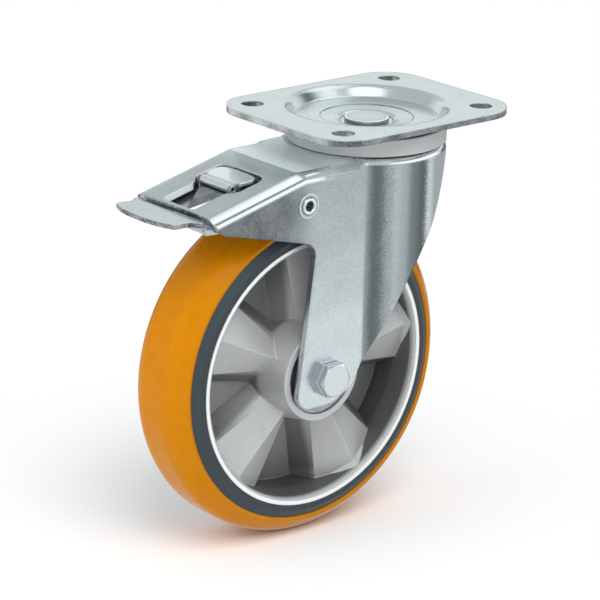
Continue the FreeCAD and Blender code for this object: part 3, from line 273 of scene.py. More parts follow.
def distance(tree, a, b, unit=MM):
    """How far two offsets in metres reach together: the root of their squares' sum, counted in a unit."""
    squares = math_node(tree, "ADD", math_node(tree, "MULTIPLY", a, a), math_node(tree, "MULTIPLY", b, b))
    return math_node(tree, "MULTIPLY", math_node(tree, "SQRT", squares), 1 / unit)


def side_distance(tree, middle, unit=MM):
    """Distance in the side view from a place in millimetres, counted in a unit."""
    x, _, z = object_axes(tree)
    across = math_node(tree, "SUBTRACT", x, middle[0] * MM)
    up = math_node(tree, "SUBTRACT", z, middle[2] * MM)
    return distance(tree, across, up, unit)


def product(tree, *values):
    """Several masks multiplied together."""
    result = values[0]
    for value in values[1:]:
        result = math_node(tree, "MULTIPLY", result, value)
    return result


# Height in metres that a bump of strength 1 stands for
BUMP_DEPTH = 0.0001


def plated(name, slot, dark, light, rough, grain=1100.0, spread=0.2, bump=0.1, metal=0.92, edge=0.0011,
           bright=0.55, marks=None, stain=0.3):
    """Bare or zinc-plated metal: soft grain, slow stains, a painted highlight on rounded edges, and drawing
    marks.

    Grain is the noise's scale, spread how far it has to swing to reach the dark or light tone, edge the
    rounding's radius in metres, bright how pale the painted highlight on its rounding gets, and marks how
    much each axis counts in the drawing marks.
    """
    tree, shader = start_material(name, slot)
    fine = placed_group(tree, "FineGrain", Scale=grain, Stain_amount=stain)
    rim = placed_group(tree, "SoftEdges", Radius=edge)
    value = ramp(tree, fine.outputs["Value"], 0.5 - spread, 0.5 + spread)
    base = blend(tree, value, dark, light)
    # Painted highlight: the rounded edges are blended towards near white, as if they caught the light
    edge_highlight = math_node(tree, "MULTIPLY", rim.outputs["Mask"], bright)
    tree.links.new(blend(tree, edge_highlight, base, colour(244, 246, 247)), shader.inputs["Base Color"])
    shader.inputs["Metallic"].default_value = metal
    height = fine.outputs["Height"]
    if marks:
        lines = placed_group(tree, "DrawingMarks", Along=marks)
        height = math_node(tree, "ADD", height, math_node(tree, "MULTIPLY", lines.outputs[0], 0.5))
    roughness = ramp(tree, fine.outputs["Value"], 0.35, 0.65, rough + 0.04, rough - 0.03)
    tree.links.new(roughness, shader.inputs["Roughness"])
    dent = node(tree, "ShaderNodeBump", Strength=bump, Distance=BUMP_DEPTH, Height=height,
                Normal=rim.outputs["Normal"])
    tree.links.new(dent.outputs[0], shader.inputs["Normal"])
    return tree, shader


def moulded(name, slot, base, other, rough, grain=500.0, bump=0.1, edge=0.0006):
    """Moulded plastic or rubber: faint texture, slow shade changes and, given an edge, rounded edges."""
    tree, shader = start_material(name, slot)
    fine = placed_group(tree, "FineGrain", Scale=grain)
    value = ramp(tree, fine.outputs["Value"], 0.3, 0.7)
    tree.links.new(blend(tree, value, base, other), shader.inputs["Base Color"])
    roughness = ramp(tree, fine.outputs["Value"], 0.3, 0.7, rough - 0.03, rough + 0.05)
    tree.links.new(roughness, shader.inputs["Roughness"])
    dent = node(tree, "ShaderNodeBump", Strength=bump, Distance=BUMP_DEPTH, Height=fine.outputs["Height"])
    if edge:
        rim = placed_group(tree, "SoftEdges", Radius=edge)
        tree.links.new(rim.outputs["Normal"], dent.inputs["Normal"])
    tree.links.new(dent.outputs[0], shader.inputs["Normal"])
    return tree, shader


def recolour(tree, shader, mask, tone, rough=None, metal=None):
    """Lay another tone, roughness or metal share over a material where a mask is 1."""
    before = shader.inputs["Base Color"].links[0].from_socket
    tree.links.new(blend(tree, mask, before, tone), shader.inputs["Base Color"])
    for socket, value in (("Roughness", rough), ("Metallic", metal)):
        if value is None:
            continue
        given = shader.inputs[socket]
        before = given.links[0].from_socket if given.links else given.default_value
        after = node(tree, "ShaderNodeMapRange", Value=mask, To_Min=before, To_Max=value).outputs[0]
        tree.links.new(after, given)


def tones(tree, value, stops):
    """Slightly cool grey tones along a value from 0 to 1: stops of (place, grey of 0 to 255)."""
    made = node(tree, "ShaderNodeValToRGB", Fac=value)
    made.color_ramp.interpolation = "EASE"
    band = made.color_ramp.elements
    while len(band) < len(stops):
        band.new(0.5)
    for element, (spot, grey) in zip(band, stops):
        element.position = spot
        element.color = colour(grey - 6, grey, grey + 3)
    return made.outputs[0]


# In the materials below, x, y and z are places in metres, and nx, ny and nz are the parts of the surface's
# direction. A ramp over them is a mask that is 0 at its first limit and 1 at its second.

# Masks of the cast core, in millimetres: radii of the hub's end and barrel, the pockets, the rim's barrel
# and its lip, then distances from the wheel's middle plane. A pair is where a mask is 0 and where it is 1.
HUB_END = 27.9
HUB_BARREL = (31.0, 34.0)
POCKET_OUTSIDE = (72.0, 66.0)
FLOOR_OUTSIDE = (76.0, 74.0)
RIM_BARREL = (70.0, 73.0)
LIP = (77.4, 77.8)
FLOOR_DEPTH = (11.0, 7.0)
BARREL_DEPTH = (22.5, 20.0)
HUB_END_DEPTH = 29.6

# Turning lines on the lip: radians of their sine for each millimetre
TURNING_LINES = 16.0


def core_material():
    """Cast aluminium: pale roofs, painted shade that darkens the walls, pocket floors and rim barrel, and a
    machined lip and hub end.

    The lip's turning lines are a sine of the distance from the axle. The value named face is 1 where the
    surface looks along the axle and 0 on walls.
    """
    tree, shader = plated("CastAluminium", "cast_aluminium", colour(172, 174, 173), colour(206, 207, 206),
                          0.42, grain=1700, spread=0.4, bump=0.06, metal=0.4, edge=0.0012, bright=0.6,
                          stain=0.25)
    radius = side_distance(tree, AXLE)
    face = absolute(tree, object_normal(tree)[1])
    # Painted shade: the steep walls of spokes and pockets are darkened, as where the light doesn't reach
    wall = product(tree, ramp(tree, face, 0.75, 0.25), ramp(tree, radius, *POCKET_OUTSIDE),
                   ramp(tree, radius, *HUB_BARREL), 0.92)
    recolour(tree, shader, wall, colour(54, 57, 56))
    depth = math_node(tree, "MULTIPLY", absolute(tree, object_axes(tree)[1]), 1 / MM)
    # Painted shade: the pocket floors near the middle plane are darkened
    floor = product(tree, ramp(tree, depth, *FLOOR_DEPTH), ramp(tree, radius, *FLOOR_OUTSIDE), 0.6)
    recolour(tree, shader, floor, colour(66, 68, 67))
    # Painted shade: the inside of the rim's barrel is darkened
    barrel = product(tree, ramp(tree, face, 0.6, 0.3), ramp(tree, radius, *RIM_BARREL),
                     ramp(tree, depth, *BARREL_DEPTH), 0.85)
    recolour(tree, shader, barrel, colour(66, 69, 68))
    lines = math_node(tree, "SINE", math_node(tree, "MULTIPLY", radius, TURNING_LINES))
    tone = blend(tree, ramp(tree, lines, -1.0, 1.0), colour(236, 238, 240), colour(252, 252, 252))
    recolour(tree, shader, ramp(tree, radius, *LIP), tone, 0.25)
    hub = math_node(tree, "MULTIPLY", math_node(tree, "LESS_THAN", radius, HUB_END),
                    math_node(tree, "GREATER_THAN", depth, HUB_END_DEPTH))
    recolour(tree, shader, hub, colour(196, 198, 198), 0.3)


# Radius in millimetres at which the cushion's chamfer begins
CUSHION_CHAMFER = (83.6, 84.0)


def cushion_material():
    """Rubber between rim and tread: a dark land beside the rim, and a painted highlight that makes the
    chamfer beside the tread paler.
    """
    tree, shader = moulded("Cushion", "dark_cushion", colour(34, 43, 47), colour(42, 52, 56), 0.3,
                           bump=0.03, edge=None)
    # Painted highlight: the chamfer, which faces the light, gets a paler tone than the land
    chamfer = ramp(tree, side_distance(tree, AXLE), *CUSHION_CHAMFER)
    recolour(tree, shader, chamfer, colour(50, 62, 68), 0.36)


def mottled(tree, dark, light, scale=1100.0, stain=1.0):
    """Mottled grey between two tones of 0 to 255, as on a cut edge or a grainy face."""
    grit = placed_group(tree, "FineGrain", Scale=scale, Stain_amount=stain).outputs["Value"]
    return blend(tree, ramp(tree, grit, 0.3, 0.7), colour(dark - 3, dark, dark),
                 colour(light - 4, light, light + 1))


# Degrees round the swivel axis, from the nose, at which the fork's round back begins
BACK_STARTS = 49.6


def fork_material():
    """The fork's sheet: dark grainy nose sides, legs paler towards the bottom, painted highlights on the
    folds, flat tops and window wall, painted shade where the neck's fold meets the crown, and painted
    reflection bands on the round back.

    The painted reflection bands are tones along the angle round the swivel axis, which a little noise makes
    uneven.
    """
    tree, shader = plated("ZincFork", "plated_sheet", colour(178, 187, 191), colour(206, 214, 217), 0.24,
                          grain=2400, spread=0.4, bump=0.05, marks=(1, 1, 0.06), edge=0.0014, bright=0.75)
    x, y, z = object_axes(tree)
    nx, ny, nz = object_normal(tree)
    side = ramp(tree, absolute(tree, ny), 0.93, 0.99)
    outside = ramp(tree, absolute(tree, y), 0.0335, 0.0345)
    high = ramp(tree, z, -0.165, -0.02)
    leg = tones(tree, high, ((0.0, 232), (0.28, 226), (0.46, 210), (0.66, 200), (0.84, 184), (1.0, 174)))
    recolour(tree, shader, product(tree, side, ramp(tree, x, -0.03, -0.0305), 0.8), leg)
    dust = placed_group(tree, "FineGrain", Scale=1700.0, Stain_amount=0.15).outputs["Value"]
    dust = math_node(tree, "SUBTRACT", ramp(tree, dust, 0.35, 0.65), 0.5)
    recolour(tree, shader, product(tree, side, ramp(tree, dust, 0.05, -0.5), 0.22), colour(124, 130, 132))
    recolour(tree, shader, product(tree, side, ramp(tree, dust, 0.05, 0.5), 0.2), colour(246, 249, 250))
    nose = product(tree, side, outside, ramp(tree, x, -0.064, -0.092), ramp(tree, z, -0.082, -0.06))
    recolour(tree, shader, product(tree, nose, 0.95), mottled(tree, 84, 146, 1500.0, 0.6))
    across = math_node(tree, "ARCTAN2", absolute(tree, y), math_node(tree, "MULTIPLY", x, -1.0))
    turn = math_node(tree, "SUBTRACT", math_node(tree, "DIVIDE", across, math.pi), BACK_STARTS / 180)
    wave = math_node(tree, "MULTIPLY", dust, 0.024)
    # Painted reflection: light and dark bands round the back stand for what its curved sheet mirrors
    painted_reflection_bands = tones(tree, math_node(tree, "ADD", turn, wave), (
        (0.0, 202), (0.012, 176), (0.032, 118), (0.058, 132), (0.09, 200), (0.125, 226), (0.155, 186),
        (0.2, 118), (0.25, 82), (0.27, 150), (0.28, 240), (0.3, 240), (0.325, 200), (0.55, 190)))
    upright = product(tree, ramp(tree, absolute(tree, nz), 0.2, 0.06), ramp(tree, x, -0.0306, -0.0296))
    recolour(tree, shader, product(tree, upright, 0.92), painted_reflection_bands)
    recolour(tree, shader, product(tree, upright, ramp(tree, dust, -0.1, -0.5), 0.35), colour(84, 88, 90))
    # Painted highlight: the rounded folds between tops and sides are made near white
    fold_highlight = product(tree, ramp(tree, nz, 0.06, 0.22), ramp(tree, nz, 0.958, 0.93))
    recolour(tree, shader, product(tree, fold_highlight, 0.75), colour(236, 240, 241), 0.14)
    # Painted shade: where the neck's fold meets the crown, the painted highlight gives way to a grey that
    # grows paler as the surface turns up
    fold_joint_shade = product(tree, fold_highlight, ramp(tree, x, -0.07, -0.046), ramp(tree, x, -0.0296, -0.034))
    recolour(tree, shader, fold_joint_shade,
             tones(tree, ramp(tree, nz, 0.1, 0.95), ((0.0, 170), (0.6, 172), (1.0, 198))), 0.5, 0.1)
    # Painted light: the flat tops behind the nose are made paler, as if lit from above
    flat = product(tree, ramp(tree, nz, 0.965, 0.985), ramp(tree, x, -0.088, -0.078))
    recolour(tree, shader, product(tree, flat, 0.9), colour(232, 242, 244), 0.3, 0.35)
    # Painted highlight: the wall inside the window is made near white, as if lit
    window_wall_highlight = product(tree, side, ramp(tree, absolute(tree, y), 0.023, 0.021), ramp(tree, x, -0.08, -0.085))
    recolour(tree, shader, window_wall_highlight, colour(244, 246, 246), 0.3, 0.2)
    end = product(tree, ramp(tree, nx, -0.6, -0.8), ramp(tree, x, -0.134, -0.137))
    recolour(tree, shader, end, mottled(tree, 96, 216, 700.0))


# Thin dark rings painted in the plate's dish as shade in its creases and round the kingpin's head: radius and
# half width in millimetres, and how dark each is
DISH_SHADE_RINGS = ((15.6, 0.7, 0.75), (27.0, 0.5, 0.7), (41.2, 0.5, 0.35), (34.0, 0.25, 0.2))


def plate_material():
    """The plate's sheet: pale and smooth on top, mottled cut edges painted paler where they face the front,
    and thin dark rings of painted shade in the dish.
    """
    tree, shader = plated("ZincPlate", "plated_sheet", colour(194, 202, 205), colour(220, 228, 230), 0.2,
                          grain=1600, spread=0.4, bump=0.04, marks=(1, 0.05, 1), edge=0.001, bright=0.8)
    x, y, z = object_axes(tree)
    nx, _, nz = object_normal(tree)
    wall = ramp(tree, absolute(tree, nz), 0.4, 0.15)
    low = ramp(tree, z, -0.0004, -0.0012)
    recolour(tree, shader, product(tree, wall, low, 0.9), mottled(tree, 76, 160), 0.4)
    # Painted light: the cut edges that face the front get a paler mottled grey than the others
    lit_front_edges = product(tree, wall, low, ramp(tree, nx, -0.8, -0.98), 0.9)
    recolour(tree, shader, lit_front_edges, mottled(tree, 160, 236), 0.4)
    radius = distance(tree, x, y)
    # Painted shade: a thin dark ring at each of those radii
    for spot, half, darkness in DISH_SHADE_RINGS:
        off = absolute(tree, math_node(tree, "SUBTRACT", radius, spot))
        recolour(tree, shader, product(tree, ramp(tree, off, half, half * 0.3), darkness), colour(84, 90, 92))


# Radii of the heads in metres
PIN_HEAD_RADIUS = 0.014
RIVET_HEAD_RADIUS = 0.008


def pin_material():
    """The kingpin: a pale head, a painted highlight on its raised rim with a dark line of painted shade on
    each side, and painted shade on its flanks.

    The tones go by the distance from the swivel axis, counted in radii of the head.
    """
    tree, shader = plated("ZincPin", "plated_turned", colour(182, 188, 191), colour(216, 221, 223), 0.2,
                          grain=1600, spread=0.4, bump=0.04, edge=0.0006, bright=0.9)
    x, y, _ = object_axes(tree)
    # Painted light: a bright ring of highlight on the raised rim, with dark lines of shade inside it and
    # round the head's seat
    rings = tones(tree, distance(tree, x, y, PIN_HEAD_RADIUS), (
        (0.0, 206), (0.7, 200), (0.78, 196), (0.8, 120), (0.83, 240), (0.9, 250), (0.93, 110)))
    up = object_normal(tree)[2]
    recolour(tree, shader, product(tree, ramp(tree, up, 0.3, 0.6), 0.8), rings)
    # Painted shade: the head's flanks are darkened
    recolour(tree, shader, product(tree, ramp(tree, up, 0.5, 0.2), 0.7), colour(110, 116, 119))


def rivet_material():
    """The hollow rivets: a painted highlight on the rim and on the rolled lip round the bore, a mid-grey
    flange, a dark line of painted shade between them, and painted shade in the dark bore.

    The tones go by the distance from the rivets' axis, counted in radii of the head.
    """
    tree, shader = plated("ZincRivet", "plated_turned", colour(176, 180, 183), colour(214, 218, 220), 0.18,
                          grain=1600, spread=0.45, bump=0.03, edge=0.0004, bright=0.6)
    reach = side_distance(tree, RIVETS, RIVET_HEAD_RADIUS)
    # Painted light: dark for the shade in the bore, bright for the highlights on lip and rim, and a dark line
    # of shade between lip and flange
    rings = tones(tree, reach, (
        (0.0, 60), (0.33, 70), (0.36, 240), (0.52, 246), (0.6, 236), (0.64, 74), (0.68, 176), (0.8, 186),
        (0.84, 240), (1.0, 240)))
    recolour(tree, shader, ramp(tree, reach, 1.5, 1.2), rings)


def lever_material():
    """The brake lever's sheet: a pale lip with mottled edges, and a dark grainy ramp between folds with a
    painted highlight.
    """
    tree, shader = plated("ZincLever", "plated_sheet", colour(176, 184, 186), colour(214, 222, 224), 0.24,
                          grain=1300, spread=0.4, edge=0.001, bright=0.7)
    x, _, _ = object_axes(tree)
    nx, ny, nz = object_normal(tree)
    near = product(tree, ramp(tree, x, -0.108, -0.111), ramp(tree, x, -0.134, -0.13))
    recolour(tree, shader, product(tree, near, ramp(tree, nx, -0.29, -0.34)), mottled(tree, 100, 176, 1500.0))
    # Painted highlight: the folds beside the ramp are made near white
    fold_highlight = product(tree, near, ramp(tree, absolute(tree, ny), 0.3, 0.45))
    recolour(tree, shader, fold_highlight, colour(240, 243, 244), 0.2)
    edge = product(tree, ramp(tree, absolute(tree, nz), 0.5, 0.25), ramp(tree, x, -0.14, -0.143))
    recolour(tree, shader, edge, mottled(tree, 60, 190, 800.0))


# Rounding of the bolt's and nut's edges, in metres
BOLT_EDGE = 0.0009


def bolt_material():
    """The bolt and nut: bright plating, and painted shade that makes the flanks a little darker away from
    their rounded edges.
    """
    tree, shader = plated("ZincBolt", "plated_turned", colour(206, 212, 216), colour(230, 235, 238), 0.14,
                          grain=1400, spread=0.45, bump=0.03, edge=BOLT_EDGE, bright=1.0, stain=0.15)
    shaded_flank = ramp(tree, absolute(tree, object_normal(tree)[1]), 0.3, 0.05)
    rim = placed_group(tree, "SoftEdges", Radius=BOLT_EDGE).outputs["Mask"]
    # Painted shade: the hexagon's flanks are darkened away from the edges' painted highlight
    recolour(tree, shader, product(tree, shaded_flank, ramp(tree, rim, 0.4, 0.0), 0.45), colour(168, 170, 182))


def tread_material(tone):
    """The tyre: glossy amber with a faint slow shade and a little light passed on below its surface."""
    shade = [0.94 * part for part in tone[:3]] + [1.0]
    _, shader = moulded("Tread", "amber_tread", shade, tone, 0.16, grain=160.0, bump=0.02, edge=0.0015)
    shader.inputs["Specular IOR Level"].default_value = 0.12
    shader.inputs["Subsurface Weight"].default_value = 0.05
    shader.inputs["Subsurface Radius"].default_value = (0.004, 0.0015, 0.0004)


def make_materials(colours):
    """Every material of the castor."""
    grain_group()
    drawing_group()
    edge_group()
    fork_material()
    core_material()
    cushion_material()
    plate_material()
    rivet_material()
    lever_material()
    pin_material()
    bolt_material()
    tread_material(colours.tread)
    plated("ZincTongue", "plated_sheet", colour(220, 228, 230), colour(238, 243, 245), 0.2, grain=1600,
           spread=0.35, edge=0.001, bright=0.8)
    plated("ZincRod", "plated_turned", colour(176, 180, 183), colour(214, 218, 220), 0.2, grain=1400,
           spread=0.4, bump=0.04, edge=0.0006, bright=0.9)
    plated("GroundSteel", "ground_steel", colour(140, 142, 146), colour(190, 192, 196), 0.25, bump=0.02)
    plated("BallSteel", "ball_steel", colour(190, 192, 196), colour(225, 226, 230), 0.12, bump=0.0)
    plated("SpringSteel", "spring_steel", colour(90, 92, 96), colour(140, 143, 148), 0.35)
    moulded("CoverGrey", "cover_grey", colours.cover, colours.cover, 0.5, bump=0.02)
    moulded("Seal", "seal_rubber", colour(40, 44, 42), colour(58, 62, 58), 0.5)
    moulded("InsertNylon", "seal_rubber", colour(196, 200, 204), colour(214, 217, 220), 0.4)


# Bolt, nut and insert

# Radii round the axle, and heights along it from the fork's middle plane, in millimetres
HALF_FORK = 35.5
WASHER = 2.5
BOLT_RADIUS = 6
BOLT_LENGTH = 90
THREAD_STARTS = 20
THREAD_DEPTH = 0.95
NUT_BORE = 6.05
NUT_HEXAGON = 8.4
NUT_HEIGHT = 12
INSERT_DEPTH = 2.6
INSERT_OUTSIDE = 6.75

# How far a hexagon's face circle lies inside its flats, how much wider each ring of the chamfer is than
# that circle, how far the chamfer falls for each millimetre outwards, and how deep the plain sides start
FACE_INSET = 0.45
CHAMFER = np.linspace(0.15, 2.2, 8)
CHAMFER_FALL = math.tan(math.radians(30))
SIDES_START = 1.6

# Where the groove lies between the head's seat and its face, as a share of its height
GROOVE = 0.42

# Steepness of the thread's flanks and how flat its crest is, its rings for each turn, and the points in
# every ring
THREAD_FLANK = 2.6
THREAD_CREST = 0.15
THREAD_STEPS = 12
RING_POINTS = 240
ANGLES = np.linspace(0, 2 * math.pi, RING_POINTS, endpoint=False)


def row(radius, height):
    """One ring: a radius and a height for every angle, each given as one number or as one for each angle."""
    return np.zeros(RING_POINTS) + radius, np.zeros(RING_POINTS) + height


def hexagon_reach(flats):
    """Distance from a hexagon's middle to its side at every angle; corners lie at 0, 60, 120 degrees.

    It is half the width across flats over the cosine of the angle from the nearest side's middle.
    """
    from_middle = np.mod(ANGLES, math.pi / 3) - math.pi / 6
    return flats / 2 / np.cos(from_middle)


def chamfer_ring(flats, wider, face, inward):
    """A ring of the chamfer's cone: a circle wider than the face's, but no wider than the hexagon.

    The cone falls from the face by the tangent of 30 degrees times the distance past the face's circle.
    """
    circle = flats / 2 - FACE_INSET
    reach = np.minimum(hexagon_reach(flats), circle + wider)
    return row(reach, face + inward * np.maximum(reach - circle, 0) * CHAMFER_FALL)


def hexagon_head(face, seat, flats):
    """Rings of a chamfered hexagon from its face to its seat: flat face, cone, then the hexagon's sides."""
    inward = math.copysign(1, seat - face)
    circle = flats / 2 - FACE_INSET
    rows = [row(reach, face) for reach in (0.01, circle * 0.5, circle)]
    rows += [chamfer_ring(flats, wider, face, inward) for wider in CHAMFER]
    sides = np.linspace(face + inward * SIDES_START, seat, 4)
    return rows + [row(hexagon_reach(flats), height) for height in sides]


def thread_rows(start, end, pitch):
    """Rings of a thread: the radius falls from crest to root and back once for each pitch along the axis.

    The phase is the height in pitches less the angle in turns, so the ridge winds round as it climbs. Its
    fall is the distance of the phase from one half, stretched and cut off for flat crests and roots.
    """
    count = max(2, int(abs(end - start) / pitch * THREAD_STEPS))
    rows = []
    for height in np.linspace(start, end, count):
        phase = np.mod(height / pitch - ANGLES / (2 * math.pi), 1.0)
        fall = np.clip(np.abs(phase - 0.5) * THREAD_FLANK - THREAD_CREST, 0, 1)
        rows.append(row(BOLT_RADIUS - THREAD_DEPTH * fall, height))
    return rows


def ringed(name, rows, body, material, closed=False):
    """A surface through rings round the axle: x and z are the radius times the angle's cosine and sine."""
    radius = np.array([ring[0] for ring in rows])
    height = np.array([ring[1] for ring in rows])
    points = np.stack([radius * np.cos(ANGLES), height, radius * np.sin(ANGLES)], -1).reshape(-1, 3)
    thing = mesh_object(name, points + np.array(AXLE), ring_quads(len(rows), RING_POINTS, closed))
    work = bmesh.new()
    work.from_mesh(thing.data)
    bmesh.ops.remove_doubles(work, verts=work.verts, dist=1e-7)
    bmesh.ops.holes_fill(work, edges=[edge for edge in work.edges if edge.is_boundary], sides=0)
    bmesh.ops.recalc_face_normals(work, faces=work.faces)
    work.to_mesh(thing.data)
    work.free()
    smooth(thing.data)
    dress(thing, body, material)
    return thing


def axle_bolt(sizes):
    """Hexagon bolt: chamfered head with a groove round it, plain shank, rolled thread and a chamfered end."""
    seat, end = -HALF_FORK, BOLT_LENGTH - HALF_FORK
    flats = sizes.across_flats / MM
    head = sizes.head_height / MM
    groove = seat - head * GROOVE
    rows = hexagon_head(seat - head, groove - 0.35, flats)
    for height, width in ((groove - 0.3, flats - 1.6), (groove + 0.3, flats - 1.6),
                          (groove + 0.35, flats - 0.2), (groove + 0.6, flats), (seat, flats)):
        rows.append(row(hexagon_reach(width), height))
    rows += [row(BOLT_RADIUS, seat), row(BOLT_RADIUS, THREAD_STARTS)]
    rows += thread_rows(THREAD_STARTS + 0.5, end - 1.2, sizes.thread_pitch / MM)
    rows += [row(5.0, end - 0.2), row(4.6, end), row(0.01, end)]
    bolt = ringed("hexagon_bolt", rows, "fork", "ZincBolt")
    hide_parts("axle_bolt")


def lock_nut(sizes):
    """Locking nut: hexagon with both edges chamfered, a rolled collar and its insert ring.

    Its first chamfer is a head's without the middle of its face, where the bore is, and without its last
    ring, where the second chamfer follows.
    """
    seat = HALF_FORK + WASHER
    top, end = seat + NUT_HEXAGON, seat + NUT_HEIGHT
    flats = sizes.across_flats / MM
    rows = [row(NUT_BORE, seat)] + hexagon_head(seat, top, flats)[2:-1]
    rows += [chamfer_ring(flats, wider, top, -1) for wider in CHAMFER[::-1]]
    for radius, height in ((flats / 2 - FACE_INSET, top), (8.6, top), (8.5, top + 0.3), (8.5, end - 1.5),
                           (8.35, end - 0.8), (7.9, end - 0.25), (7.3, end), (6.9, end),
                           (INSERT_OUTSIDE, end - 0.25), (INSERT_OUTSIDE, end - INSERT_DEPTH),
                           (NUT_BORE, end - INSERT_DEPTH)):
        rows.append(row(radius, height))
    nut = ringed("collar_nut", rows, "fork", "ZincBolt", closed=True)
    ringed("nut_insert_ring", [row(NUT_BORE, end - 2.5), row(NUT_BORE, end - 0.5), row(6.7, end - 0.4),
                               row(6.7, end - 2.5)], "fork", "InsertNylon", closed=True)
    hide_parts("lock_nut")


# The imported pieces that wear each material
PAINTED = {
    "ZincPlate": ["top_plate", "lower_race", "lock_ring"],
    "ZincFork": ["fork"],
    "ZincLever": ["brake_pedal", "brake_shoe"],
    "ZincTongue": ["release_tongue"],
    "ZincPin": ["kingpin"],
    "ZincRod": ["tongue_pin", "lock_tooth"],
    "ZincRivet": ["pivot_rivets"],
    "ZincBolt": ["axle_bolt", "lock_nut", "nut_washer"],
    "GroundSteel": ["axle_tube", "bearing_spacer", "distance_ring_bolt_side", "distance_ring_nut_side",
                    "bearing_inner_ring_bolt_side", "bearing_inner_ring_nut_side",
                    "bearing_outer_ring_bolt_side", "bearing_outer_ring_nut_side"],
    "BallSteel": ["upper_balls", "lower_balls", "bearing_balls_bolt_side", "bearing_balls_nut_side"],
    "SpringSteel": ["brake_spring"],
    "CoverGrey": ["race_cover_ring"],
    "Cushion": ["cushion_ring"],
    "Seal": ["bearing_seals_bolt_side", "bearing_seals_nut_side"],
    "Tread": ["tread"],
    "CastAluminium": ["wheel_core"],
}


# Stage

# The photograph's camera: direction and tilt in degrees, the point in millimetres that it looks at and its
# distance from there in metres, its focal length in pixels of a picture this many pixels wide, and a
# sensor's width in millimetres
CAMERA_AIM = (-40.36304, 18.48915, 1.31969)
CAMERA_TARGET = (-47.248, 0.0, -109.4443)
CAMERA_DISTANCE = 1.6493766
FOCAL_PIXELS = 2853.254
PICTURE_PIXELS = 600
SENSOR = 36

# The floor, in millimetres: a little below the tread, and its half side
FLOOR_LEVEL = -245.4
FLOOR_REACH = 6000
# The castor's middle over the floor, and where the paper starts and ends turning into white, in metres
CASTOR_MIDDLE = -0.05
PAPER_FADES = (0.08, 0.28)


def aim(azimuth, elevation, tilt):
    """Rotation of a camera that looks at the castor from a direction in degrees, and that direction."""
    around, above, leaning = (math.radians(angle) for angle in (azimuth, elevation, tilt))
    flat = math.cos(above)
    back = Vector((math.sin(around) * flat, -math.cos(around) * flat, math.sin(above)))
    right = Vector((math.cos(around), math.sin(around), 0))
    across = right * math.cos(leaning) + back.cross(right) * math.sin(leaning)
    return Matrix((across, back.cross(across), back)).transposed(), back


def soft_box(name, place, target, size, power):
    """A rectangular area light that faces a point and isn't mirrored by the metal."""
    lamp = bpy.data.lights.new(name, "AREA")
    lamp.shape = "RECTANGLE"
    lamp.size, lamp.size_y = size
    lamp.energy = power
    thing = bpy.data.objects.new(name, lamp)
    thing.location = place
    direction = Vector(target) - Vector(place)
    thing.rotation_euler = direction.to_track_quat("-Z", "Y").to_euler()
    thing.visible_glossy = False
    bpy.context.scene.collection.objects.link(thing)


def photo_camera(scene):
    """The camera that the photograph was taken from, put into the scene."""
    lens = bpy.data.cameras.new("Camera")
    lens.sensor_width = SENSOR
    lens.lens = SENSOR * FOCAL_PIXELS / PICTURE_PIXELS
    lens.clip_end = 50
    camera = bpy.data.objects.new("Camera", lens)
    turn, away = aim(*CAMERA_AIM)
    place = Vector(CAMERA_TARGET) * MM + away * CAMERA_DISTANCE
    camera.matrix_world = Matrix.Translation(place) @ turn.to_4x4()
    scene.collection.objects.link(camera)
    scene.camera = camera


# What polished and satin metal mirrors: azimuth and its half width, elevation and its half height,
# softness and brightness of each light or grey card round the castor
CARDS = (
    (50, 50, 12, 16, 8, 1.0),
    (50, 48, -2, 10, 3, 0.12),
    (64, 22, 36, 8, 6, 0.66),
    (-50, 45, 12, 12, 4, 1.35),
    (-45, 45, 34, 6, 3, 0.05),
    (-15, 50, 58, 15, 5, 1.35),
    (-130, 42, 65, 20, 6, 1.7),
    (-52, 24, -22, 20, 6, 0.95),
    (150, 60, -30, 30, 10, 0.85),
)
# Brightness of what metal mirrors between the cards
SURROUNDINGS = 0.62


def studio_world(scene):
    """White surroundings for the camera, plain grey light, and soft boxes and grey cards for reflections.

    Each card is laid over the last by its mask of azimuth and elevation, worked out from the ray's direction.
    """
    world = bpy.data.worlds.new("StudioWhite")
    scene.world = world
    world.use_nodes = True
    tree = world.node_tree
    back = tree.nodes["Background"]
    path = tree.nodes.new("ShaderNodeLightPath")
    way = tree.nodes.new("ShaderNodeTexCoord").outputs["Generated"]
    x, y, z = node(tree, "ShaderNodeSeparateXYZ", Vector=way).outputs
    azimuth = math_node(tree, "MULTIPLY", math_node(tree, "ARCTAN2", y, x), 180 / math.pi)
    elevation = math_node(tree, "MULTIPLY", math_node(tree, "ARCSINE", z), 180 / math.pi)
    level = SURROUNDINGS
    for across, wide, up, high, soft, bright in CARDS:
        off = absolute(tree, math_node(tree, "SUBTRACT", azimuth, across))
        lift = absolute(tree, math_node(tree, "SUBTRACT", elevation, up))
        inside = math_node(tree, "MULTIPLY", ramp(tree, off, wide + soft, wide - soft),
                           ramp(tree, lift, high + soft, high - soft))
        level = node(tree, "ShaderNodeMapRange", Value=inside, To_Min=level, To_Max=bright).outputs[0]
    cool = math_node(tree, "MULTIPLY", level, 0.95)
    mirrored = node(tree, "ShaderNodeCombineColor", i0=cool, i1=level, i2=level).outputs[0]
    lit = blend(tree, path.outputs["Is Glossy Ray"], (0.66, 0.67, 0.68, 1), mirrored)
    seen = math_node(tree, "ADD", path.outputs["Is Camera Ray"], path.outputs["Is Transmission Ray"], True)
    tree.links.new(blend(tree, seen, lit, (1, 1, 1, 1)), back.inputs["Color"])


